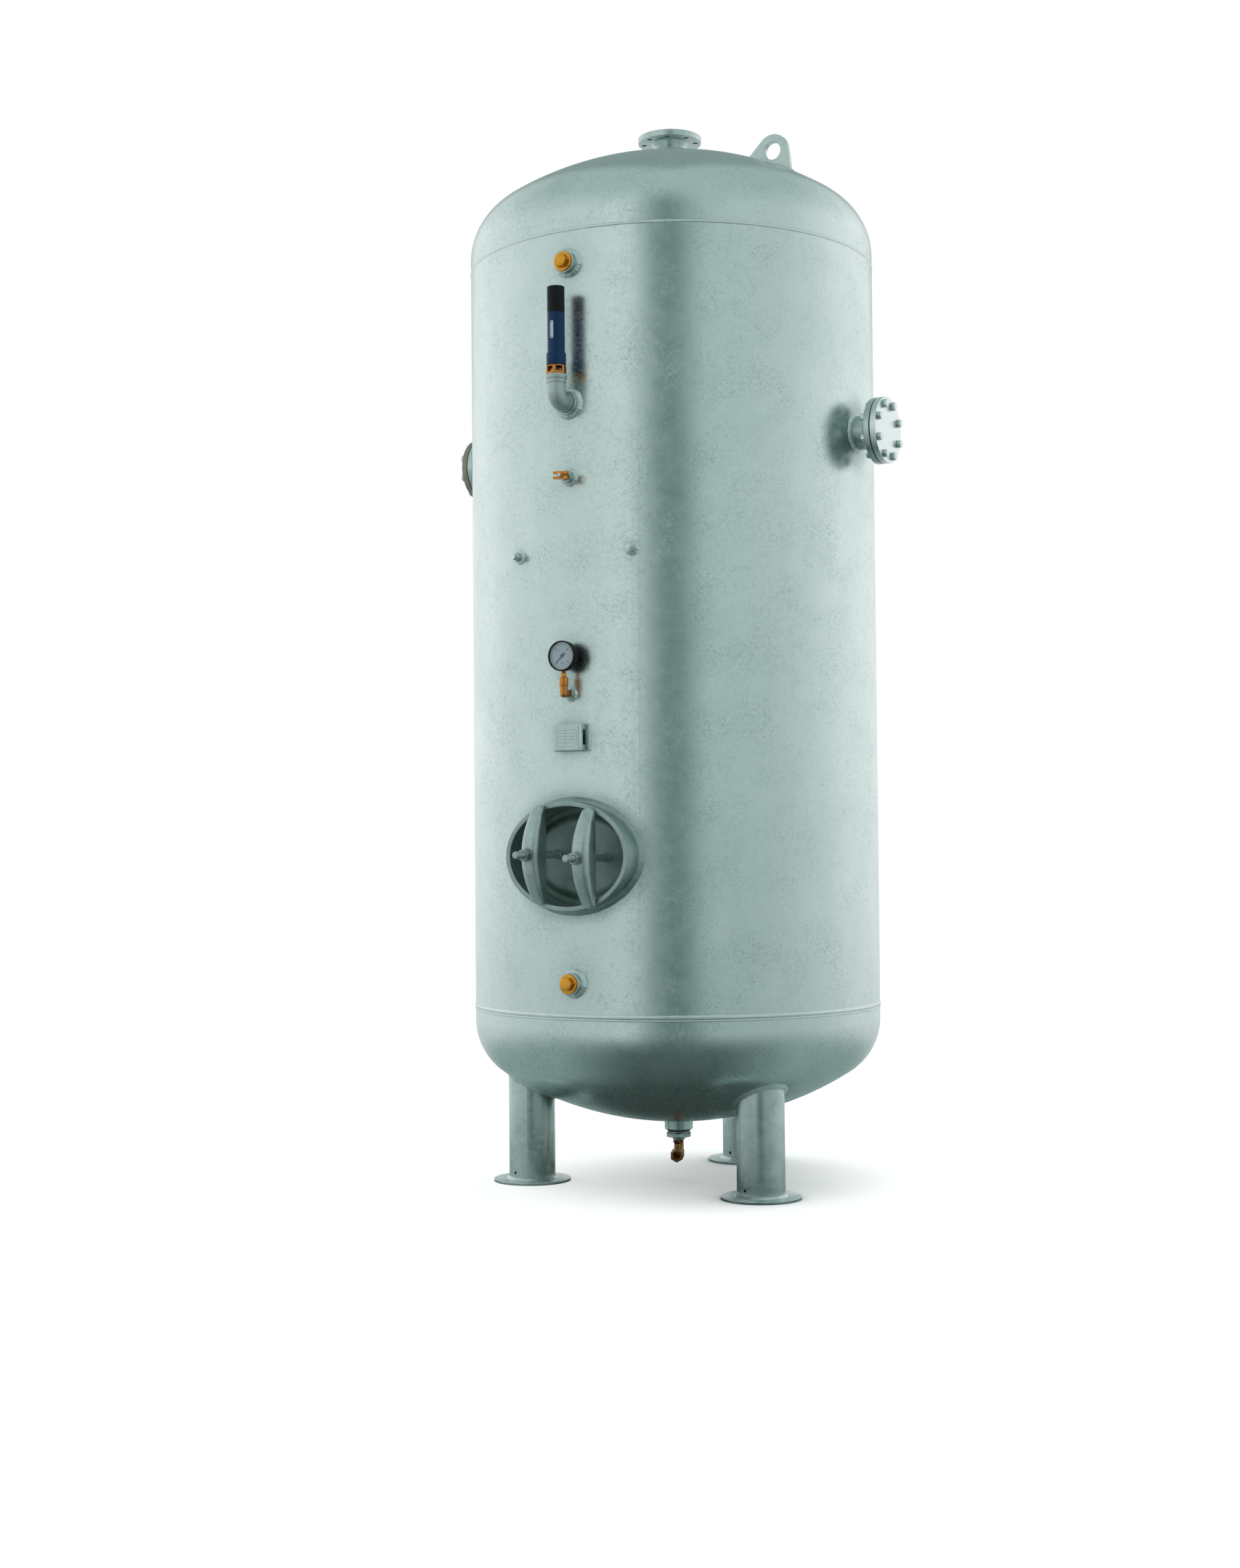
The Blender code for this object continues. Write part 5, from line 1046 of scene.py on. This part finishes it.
def make_gauge():
    reach = 0.020
    socket("gauge_socket", 0.0, GAUGE_HEIGHT, 0.0165, 0.0091, reach, 0.007)
    corner = outward(0.0, GAUGE_HEIGHT, RADIUS + reach + 0.027)
    riser = upright(*corner.translation)
    adaptor_top, nut_low, nut_top = 0.052, 0.056, 0.063
    ball = [(0.0125 * math.sin(math.pi / 2 * i / 10), -0.0125 * math.cos(math.pi / 2 * i / 10))
            for i in range(11)]
    up = turned(ball + [(0.0125, 0.0245, 0.001), (0.0143, 0.0250, 0.0005),
                        (0.0143, adaptor_top, 0.0012), (0.0078, adaptor_top), (0.0078, nut_low + 0.001),
                        (0.0, nut_low + 0.001)], 64)
    grooves = merged(*[turned([(0.0140, z - 0.0009), (0.01475, z - 0.0006), (0.01475, z + 0.0006),
                               (0.0140, z + 0.0009)], 48) for z in (0.0285, 0.0485)])
    inlet = turned([(0.0, -0.040), (0.0085, -0.040), (0.0085, -0.0267), (0.0108, -0.0267, 0.0006),
                    (0.0108, 0.0), (0.0, 0.0)], 48)
    piece("gauge_elbow_riser", placed(merged(up, grooves), riser), "copper",
          stands_for=["gauge_elbow"], edge=0, angle=40)
    piece("gauge_elbow_inlet", placed(inlet, corner), "copper", edge=0, angle=40)
    piece("gauge_lock_nut", placed(nut(0.020, nut_low, nut_top, bottom=True), riser), "brass",
          edge=0.0003)
    foot = riser @ upright(z=nut_top + GAP)
    centre = foot.translation + Vector((0.0, 0.0, 0.057))
    dial = outward(0.0, centre.z, -centre.y)
    make_gauge_case(dial)
    piece("gauge_stem", placed(bar(0.0070, 0.0, 0.0125, 40), foot), "dull_brass", edge=0)
    make_gauge_face(dial)


def make_gauge_case(dial):
    back, front, bore, lip, floor = -0.013, 0.017, 0.046, 0.0448, DIAL_TOP - 0.0015
    profile = [(0.0, back), (0.043, back, 0.003), (0.0475, back + 0.003, 0.003),
               (0.0475, front - 0.010, 0.001), (0.049, front - 0.0085, 0.0008),
               (0.049, front, 0.0020), (lip, front, 0.0006), (lip, 0.0151), (bore, 0.0151),
               (bore, 0.0134), (lip, 0.0134), (lip, floor), (0.0, floor)]
    piece("gauge_case_fine", placed(turned(profile, 128), dial), "black",
          stands_for=["gauge_case"], edge=0, angle=30)


def make_gauge_face(dial):
    """The dial plate with its print, the glass over it and the needle."""
    top = DIAL_TOP
    piece("gauge_dial_plate", placed(band(0.0018, 0.0445, top - 0.001, top, 96), dial), "dial",
          stands_for=["gauge_dial"], edge=0)
    zero, sweep, scale_end = 225, 270, 15
    marks, ink, rim = [], 0.00012, 0.0400
    for k in range(5 * scale_end + 1):
        if k % 25 == 0:
            long, wide = 0.0064, 0.00115
        elif k % 5 == 0:
            long, wide = 0.0048, 0.0008
        else:
            long, wide = 0.0026, 0.00035
        line = block(-wide / 2, wide / 2, rim - long, rim, top, top + ink)
        marks.append(placed(line, spun(zero - sweep * k / (5 * scale_end) - 90)))
    for number in (0, 5, 10, 15):
        x, y = polar(0.0268, math.radians(zero - sweep * number / scale_end))
        marks.append(text(f"figure_{number}", str(number), 0.0108, upright(x, y, top + ink)))
    marks.append(text("unit", "bar", 0.0072, upright(0.0, -0.0225, top + ink)))
    piece("gauge_dial_print", placed(merged(*marks), dial), "ink", edge=0, smooth=False)
    limit = placed(block(-0.0007, 0.0007, 0.0335, 0.0412, top, top + 0.0002),
                   spun(zero - sweep * 11 / scale_end - 90))
    piece("gauge_limit_mark", placed(limit, dial), "red_ink", edge=0, smooth=False)
    piece("gauge_glass_fine", placed(bar(0.0457, 0.0137, 0.0149, 96, rim=0.0003), dial), "glass",
          stands_for=["gauge_glass"], edge=0, angle=35)
    half = [(-0.0120, 0.0034), (-0.0105, 0.0036), (-0.0042, 0.0017), (0.0, 0.0017), (0.0300, 0.0006)]
    needle = [(x, -y) for x, y in half] + [(0.0340, 0.0)] + half[::-1]
    hub = turned([(0.0, 0.0), (0.0015, 0.0), (0.0015, 0.0016), (0.0050, 0.0016, 0.0003),
                  (0.0050, 0.0030, 0.0006), (0.0, 0.0032)], 40)
    piece("gauge_needle", placed(merged(prism(needle, 0.0019, 0.0026), hub),
                                 dial @ upright(z=top) @ spun(zero)), "ink", "gauge_pointer",
          ["gauge_pointer"], edge=0, angle=40)


# ---------------------------------------------------------------- nameplate


def make_nameplate():
    """A folded bracket with two feet on the shell, and a plate with blank ruled fields."""
    half, deep, sheet, foot, bend = 0.056, 0.031, 0.002, 0.065, 0.003
    seat, end = on_round(half, 0) + GAP, on_round(foot, 0) + GAP
    line = [(foot, end), (half + bend, seat), (half, seat + bend), (half, deep - bend)]
    for a in (math.pi / 8, math.pi / 4, 3 * math.pi / 8):
        x, z = polar(bend, a)
        line.append((half - bend + x, deep - bend + z))
    line.append((half - bend, deep))
    line += [(-x, z) for x, z in line[::-1]]
    inner = []
    for i, (x, z) in enumerate(line):
        along = Vector(line[min(i + 1, len(line) - 1)]) - Vector(line[max(i - 1, 0)])
        along.normalize()
        inner.append((x - along.y * sheet, z + along.x * sheet))
    fold = stacked([[(x, y, z) for x, z in line + inner[::-1]] for y in (-0.042, 0.042)])
    place = outward(0.0, NAMEPLATE_HEIGHT, RADIUS)
    slot = placed(prism(rounded(0.02, 0.048, 0.004), -0.0105, 0.0105), upright(half, 0.0, deep / 2))
    piece("nameplate_bracket_fold", placed(boolean(fold, slot), place), "galv",
          stands_for=["nameplate_bracket"], edge=0.0004, angle=40)
    for k, side in enumerate((-1, 1)):
        fillet_bead(f"bracket_bead_{k + 1}", place, rect_edge(side * 0.0612, 0.0, 0.0076, 0.080),
                    on_round, 0.0045, 0.0035, seed=70 + k, count=120)
    top = deep + 0.0013
    plate = prism(rounded(0.086, 0.076, 0.0022), deep + GAP, top)
    piece("nameplate_sheet", placed(plate, place), "label", stands_for=["nameplate"], edge=0.0002)
    edge, rule = 0.037, 0.0005
    lines = [(-edge, edge, y, y + rule) for y in (0.0225, 0.0125, 0.0025, -0.0075, -0.0175)]
    lines += [(x, x + rule, low, high) for x, low, high in
              ((-0.006, -0.0175, 0.0225), (0.019, -0.0075, 0.0125), (-edge, -0.0300, 0.0225),
               (edge - rule, -0.0300, 0.0225))]
    lines.append((-edge, edge, -0.0305, -0.0300))
    rules = merged(*[block(*sides, top - 0.0001, top + 0.00012) for sides in lines])
    piece("nameplate_rules", placed(rules, place), "ink", edge=0, smooth=False)
    rivets = merged(*[placed(turned([(0.0, 0.0), (0.0021, 0.0), (0.0019, 0.0008), (0.0, 0.0011)], 20),
                             upright(x, y, top))
                      for x in (-0.0395, 0.0395) for y in (-0.0345, 0.0345)])
    piece("nameplate_rivets", placed(rivets, place), "zinc", edge=0, angle=40)


def rect_edge(cx, cy, w, h):
    """A point round a rectangle, for a bead."""
    corners = [Vector((cx - w / 2, cy - h / 2)), Vector((cx + w / 2, cy - h / 2)),
               Vector((cx + w / 2, cy + h / 2)), Vector((cx - w / 2, cy + h / 2))]

    def at(t):
        lengths = [w, h, w, h]
        s = t * 2 * (w + h)
        for k, length in enumerate(lengths):
            if s <= length:
                p = corners[k].lerp(corners[(k + 1) % 4], s / length)
                return (p.x, p.y)
            s -= length
        return tuple(corners[0])

    return at


# ---------------------------------------------------------------- manway


def oval_stack(a, b, profile, ring=False, segments=144):
    """A solid or a ring through ovals: each step is (outset from the oval a by b, z[, radius])."""
    return stacked([[(x, y, z) for x, y in oval(a + out, b + out, segments)]
                    for out, z in soften(profile)], closed=ring)


def threaded(radius, low, high, pitch=0.0025, depth=0.0008, tip=0.0025):
    """A stud whose thread is drawn as rings, with a rounded end."""
    profile = [(0.0, low), (radius, low)]
    count = int((high - tip - low) / pitch)
    for k in range(count):
        z = low + (high - tip - low) * k / count
        profile += [(radius, z + 0.0002), (radius - depth, z + pitch * 0.5),
                    (radius, z + pitch - 0.0002)]
    profile += [(radius - 0.0006, high - tip), (radius - 0.0028, high - 0.0006), (0.0, high)]
    return turned(profile, 40)


def make_manway():
    face = outward(0.0, MANWAY_HEIGHT, MANWAY_REACH)
    ring = [(0.0, -0.110), (0.0, 0.0, 0.0025), (-0.016, 0.0, 0.0025), (-0.016, -0.110)]
    piece("manway_ring_fine", placed(oval_stack(*MANWAY_OVAL, ring, True), face), "ring",
          stands_for=["manway_ring"], edge=0, angle=40)
    fillet_bead("manway_ring_bead", outward(0.0, MANWAY_HEIGHT, RADIUS), oval_of(*MANWAY_OVAL),
                on_round, 0.015, 0.012, seed=80, count=480, ripple=0.10, look="ring")
    seal = [(0.0, -0.1143), (0.0, -0.1103), (-0.015, -0.1103), (-0.015, -0.1143)]
    piece("manway_seal", placed(oval_stack(*MANWAY_OVAL, seal, True), face), "rubber",
          "manway_cover", ["manway_gasket"], edge=0)
    plate_top = -0.1006
    lid = [(0.0, -0.1246), (0.020, -0.1246), (0.020, -0.1146, 0.002), (-0.020, -0.1146, 0.006),
           (-0.040, plate_top, 0.010), (-0.060, plate_top)]
    piece("manway_cover_plate", placed(oval_stack(0.210, 0.160, lid), face), "cover",
          "manway_cover", ["manway_cover"], edge=0, angle=40)
    for k, (side, sign) in enumerate((("right", 1), ("left", -1))):
        place = face @ upright(sign * 0.09183, sign * -0.00562)
        piece(f"{side}_manway_stud", placed(threaded(STUD_RADIUS, 0.030, 0.155), place), "stud",
              "manway_cover", edge=0, angle=20)
        # the shank takes the pale weld look, lighter than its own thread: painted light against the
        # shade inside the ring
        piece(f"{side}_manway_shank", placed(bar(STUD_RADIUS, -0.104, 0.031, 40), place), "weld",
              "manway_cover", edge=0)
        fillet_bead(f"{side}_manway_stud_bead", place, circle_of(STUD_RADIUS - 0.0002),
                    lambda x, y: plate_top, 0.004, 0.004, seed=90 + k, look="cast",
                    body="manway_cover")
        make_yoke(side, place)


def make_yoke(side, frame_at):
    """A cast bridge that bears on the ring above and below, with a nut and washer on it."""
    loops, count = [], 48
    for i in range(count + 1):
        along = math.sin((2 * i / count - 1) * math.pi / 2)
        bow = 1 - along**2
        tip = min(0.55 + 9 * (1 - abs(along)), 1.0)
        half = tip * (0.036 + 0.029 * bow) / 2
        back, front = GAP + 0.020 * bow, 0.014 + 0.071 * bow
        edge = min(half, (front - back) / 2) * 0.98
        outline = [(half, back), (half, front, edge), (-half, front, edge), (-half, back)]
        loops.append([(x, 0.1593 * along, z) for x, z in soften(outline, 7)])
    hole = bar(0.0135, -0.03, 0.12, 40)
    body = f"{side}_yoke"
    piece(f"{side}_yoke_casting", placed(boolean(stacked(loops), hole), frame_at), "cast", body,
          [body], edge=0.0012, angle=38)
    low, bore = 0.0853, 0.0124
    washer = band(bore, 0.022, low, low + 0.003, 64, 0.0005, 0.001)
    hexed = nut(0.036, low + 0.003, low + 0.0245, turn=12.0, bore=bore)
    piece(f"{side}_yoke_nut_fine", placed(merged(washer, hexed), frame_at), "stud", body,
          [f"{side}_yoke_nut"], edge=0.0005)


# ---------------------------------------------------------------- drain


def make_drain():
    face, axis = 0.1725, 0.094
    bush = nut(0.083, face - 0.026, face - 0.010, turn=58.0, bottom=True, slope=0.4)
    thread = bar(0.0376, face - 0.012, face + 0.018)
    collar = bar(0.0215, face - 0.036, face - 0.024, foot=0.0015)
    piece("drain_bush_casting", merged(bush, thread, collar), "cast", stands_for=["drain_bush"],
          edge=0.0008)
    rng = random.Random(21)

    def section(_k):
        w = rng.uniform(0.0, 0.0009)
        return ((0.0370, face - 0.0015), (0.0388 + w, face - 0.0018), (0.0392 + w, face - 0.0045),
                (0.0370, face - 0.0065 - w))

    piece("drain_thread_sealing", round_band(80, section), "rubber", edge=0, angle=60)
    radius, inlet = 0.0165, 0.0422
    out = outward(24.0, axis)
    elbow_at = out @ spun(90, "X")
    bend = placed(tube(elbow_path(0.021, inlet, 0.030), radius, 48), elbow_at)
    rim = placed(band(0.014, radius, -inlet, -0.030, 48, rim=0.001), elbow_at)
    piece("drain_elbow_fine", merged(bend, rim), "dull_brass", stands_for=["drain_elbow"], edge=0,
          angle=40)
    make_drain_valve(out @ upright(z=0.0303))


def make_drain_valve(place):
    length, face, end = 0.075, 0.0742, 0.016
    profile = [(0.0115, 0.0008), (0.0190, 0.0008), (0.0190, end), (0.0195, 0.0175, 0.002),
               (0.0205, 0.028, 0.004), (0.0205, 0.047, 0.004), (0.0195, 0.0575, 0.002),
               (0.0190, length - end), (0.0190, face), (0.0135, face, 0.0005),
               (0.0135, length - 0.012), (0.0115, length - 0.012)]
    ends = [nut(0.041, low, low + end, turn=30.0, bore=0.0150, bottom=True, slope=0.35)
            for low in (0.0, length - end)]
    middle = place @ upright(z=length / 2)
    stem = upright(*middle.translation)
    neck = turned([(0.0047, 0.016), (0.009, 0.016), (0.009, 0.033, 0.0012), (0.0085, 0.036),
                   (0.0047, 0.036)], 40)
    body = merged(*[placed(shape, place) for shape in [turned(profile, 64)] + ends],
                  placed(neck, stem))
    piece("drain_valve_fine", body, "dull_brass", stands_for=["drain_valve_body"], edge=0.0005)
    ball = bmesh.new()
    bmesh.ops.create_uvsphere(ball, u_segments=40, v_segments=24, radius=0.016)
    ball = boolean(placed(ball, stem), placed(bar(0.0115, -0.03, 0.03, 40), middle))
    pin = turned([(0.0, 0.010), (0.0042, 0.010), (0.0042, 0.0472, 0.0006), (0.0, 0.048)], 32)
    piece("drain_ball_fine", merged(ball, placed(pin, stem)), "zinc", "drain_lever", ["drain_ball"],
          edge=0, angle=35)
    make_drain_lever(stem @ spun(-66.0))


def make_drain_lever(at):
    """A dipped handle, bent up once, with a rounded end."""
    low, rise, thick, chamfer, bore = 0.0363, 0.015, 0.0040, (0.0018, 0.0012), 0.0045
    # how far out, how far up and half the width
    line = ((-0.0110, 0.0, 0.0050), (-0.0095, 0.0, 0.0085), (0.012, 0.0, 0.0100),
            (0.017, 0.0025, 0.0092), (0.031, 0.0125, 0.0088), (0.036, rise, 0.0094),
            (0.060, rise, 0.0098), (0.074, rise, 0.0098), (0.079, rise, 0.0085),
            (0.0816, rise, 0.0055), (0.082, rise, 0.003))
    loops = []
    for x, up, half in line:
        z = low + up
        side = [(half - chamfer[0], z), (half, z + chamfer[1]), (half, z + thick - chamfer[1]),
                (half - chamfer[0], z + thick)]
        outline = side + [(-y, h) for y, h in side[::-1]]
        loops.append([(x, y, h) for y, h in outline])
    hole = bar(bore, 0.02, 0.06, 24)
    piece("drain_handle", placed(boolean(stacked(loops), hole), at), "red_vinyl", "drain_lever",
          ["drain_lever"], edge=0.0005, angle=50)
    high = low + thick + GAP
    piece("drain_handle_nut", placed(nut(0.013, high, high + 0.006, bore=bore), at), "zinc",
          "drain_lever", ["drain_lever_nut"], edge=0.0003)


# ---------------------------------------------------------------- the whole object

make_vessel()
make_seams()
make_legs()
make_lugs()
make_side_nozzles()
make_top_nozzle()
make_plugs()
make_studs()
make_safety_valve()
make_test_connection()
make_gauge()
make_nameplate()
make_manway()
make_drain()

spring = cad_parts["safety_spring"]
spring.data.materials.clear()
spring.data.materials.append(LOOKS["spring"])

# ---------------------------------------------------------------- surroundings

VIEW_AZIMUTH = 28.3


def from_the_camera(n, source=None):
    """Across, away and up, as the camera faces, from the object's coordinates or those given."""
    return n.split(n.coords(turn=math.radians(-VIEW_AZIMUTH), source=source))


def wall_colour(level):
    """A pale wall, which turns greener as it grows darker."""
    bright, middle, dark = (0.96, 1.0, 1.0), (0.86, 1.0, 0.985), (0.66, 1.0, 0.93)
    if level > 0.65:
        mix, low, high = min((level - 0.65) / 0.3, 1.0), middle, bright
    else:
        mix, low, high = max((level - 0.24) / 0.41, 0.0), dark, middle
    return (*(level * (a + (b - a) * mix) for a, b in zip(low, high)), 1.0)


def studio_world():
    """White to the camera and through glass. Metal and the light come from pale walls all round,
    with a dark gap towards the camera, at an angle counted from the camera's own direction."""
    world = bpy.data.worlds.new("studio")
    scene.world = world
    world.use_nodes = True
    n = Nodes.__new__(Nodes)
    n.tree = world.node_tree
    n.tree.nodes.clear()
    across, depth, rise = from_the_camera(n, n.add("ShaderNodeTexCoord").outputs["Generated"])
    angle = n.facing(across, depth)
    ramp = n.fed(n.add("ShaderNodeValToRGB"), n.span(angle, -math.pi, math.pi))
    levels = [(-180, 1.02), (-153, 0.98), (-128, 0.98), (-109, 0.86), (-95, 0.80), (-69, 0.73),
              (-47, 0.72), (-35, 0.76), (-25, 0.80), (-20, 0.72), (-14, 0.42), (-7, 0.21), (5, 0.23),
              (12, 0.50), (18, 0.60), (25, 0.59), (47, 0.61), (69, 0.67), (80, 0.73), (95, 0.80),
              (109, 0.92), (153, 0.99)]
    stops = ramp.color_ramp.elements
    while len(stops) < len(levels):
        stops.new(0.5)
    for stop, (degrees, level) in zip(stops, levels):
        stop.position, stop.color = degrees / 360 + 0.5, wall_colour(level)
    sky = n.blend(n.span(rise, 0.38, 0.80), ramp.outputs[0], (0.42, 0.53, 0.51))
    behind = n.math("MULTIPLY", n.span(n.math("ABSOLUTE", angle), 2.62, 2.97),
                    n.span(rise, 0.14, 0.26))
    sky = n.blend(behind, sky, (0.25, 0.33, 0.315))
    for high, low, tint in ((0.04, -0.13, (0.68, 0.71, 0.705)), (-0.18, -0.90, (0.25, 0.30, 0.29))):
        sky = n.blend(n.span(rise, high, low), sky, n.blend(1.0, sky, tint, "MULTIPLY"))
    seen = n.blend(n.either_ray("Camera", "Transmission"), sky, (1.0, 1.0, 1.0))
    shade = n.fed(n.add("ShaderNodeBackground"), seen).outputs[0]
    n.link(shade, n.add("ShaderNodeOutputWorld").inputs["Surface"])


def studio_floor():
    """A pale floor that keeps the object's shadow and ends in the white background."""
    bm = bmesh.new()
    bmesh.ops.create_circle(bm, cap_ends=True, radius=14.0, segments=96)
    mesh = bpy.data.meshes.new("floor")
    bm.to_mesh(mesh)
    bm.free()
    floor = bpy.data.objects.new("floor", mesh)
    scene.collection.objects.link(floor)
    n = Nodes("floor")
    where = n.coords()
    distance = n.length(where)
    tone = n.blend(n.span(n.noise(where, 900.0, 2.0), 0.3, 0.7), (0.79, 0.80, 0.80),
                   (0.81, 0.82, 0.82))
    across, depth, _ = from_the_camera(n, where)
    # what the camera sees: a bright floor with a broad shade and a contact shadow
    shade = n.math("MULTIPLY", n.span(n.crevice(0.42), 0.30, 0.92, 1.0, 0.0),
                   n.span(across, -0.50, 0.28, 0.15, 1.0))
    contact = n.math("MULTIPLY", n.span(n.crevice(0.13), 0.45, 0.95, 0.30, 0.0),
                     n.span(across, -0.30, 0.20))
    shade = n.math("ADD", n.math("MULTIPLY", shade, 0.52), contact)
    glow = n.fed(n.add("ShaderNodeEmission"), (1.0, 0.965, 0.968, 1.0),
                 n.math("SUBTRACT", 0.70, shade))
    diffuse = n.fed(n.add("ShaderNodeBsdfDiffuse"), tone)
    seen = n.fed(n.add("ShaderNodeAddShader"), diffuse.outputs[0], glow.outputs[0]).outputs[0]
    # what the metal reflects: a dull floor, with painted shadow under the object and painted light at
    # the sides, that ends near the object
    aside = n.span(n.math("ABSOLUTE", n.facing(across, depth)), 0.4, 1.1)
    lit = n.math("MULTIPLY", aside, n.span(distance, 0.28, 0.60))
    dull = n.fed(n.add("ShaderNodeBsdfDiffuse"), n.blend(lit, (0.18, 0.22, 0.21), (0.62, 0.70, 0.69)))
    clear = n.add("ShaderNodeBsdfTransparent")
    mirrored = n.shaders(n.span(distance, 1.2, 2.6), dull.outputs[0], clear.outputs[0])
    camera_ray = n.add("ShaderNodeLightPath").outputs["Is Camera Ray"]
    n.link(n.shaders(camera_ray, mirrored, seen), n.out.inputs["Surface"])
    n.tree.nodes.remove(n.shader)
    mesh.materials.append(n.material)


def studio_camera():
    """Seven and a half metres off and a little above the manway."""
    distance, height = 7.633, 1.166
    pitch, roll, yaw = 0.02704, 0.008493, -0.02541
    ahead = Vector((math.sin(yaw) * math.cos(pitch), math.cos(yaw) * math.cos(pitch), math.sin(pitch)))
    level = Vector((math.cos(yaw), -math.sin(yaw), 0.0))
    upward = level.cross(ahead)
    right = math.cos(roll) * level - math.sin(roll) * upward
    up = math.sin(roll) * level + math.cos(roll) * upward
    pose = Matrix((right, up, -ahead)).transposed().to_4x4()
    pose.translation = Vector((0.0, -distance, height))
    data = bpy.data.cameras.new("main_camera")
    data.sensor_fit, data.sensor_height, data.lens = "VERTICAL", 36.0, 50.238
    data.clip_start, data.clip_end = 0.1, 100.0
    camera = bpy.data.objects.new("main_camera", data)
    scene.collection.objects.link(camera)
    camera.matrix_world = upright(y=AXIS_Y) @ spun(VIEW_AZIMUTH) @ pose
    scene.camera = camera


studio_world()
studio_floor()
studio_camera()
scene.view_settings.view_transform = "Standard"
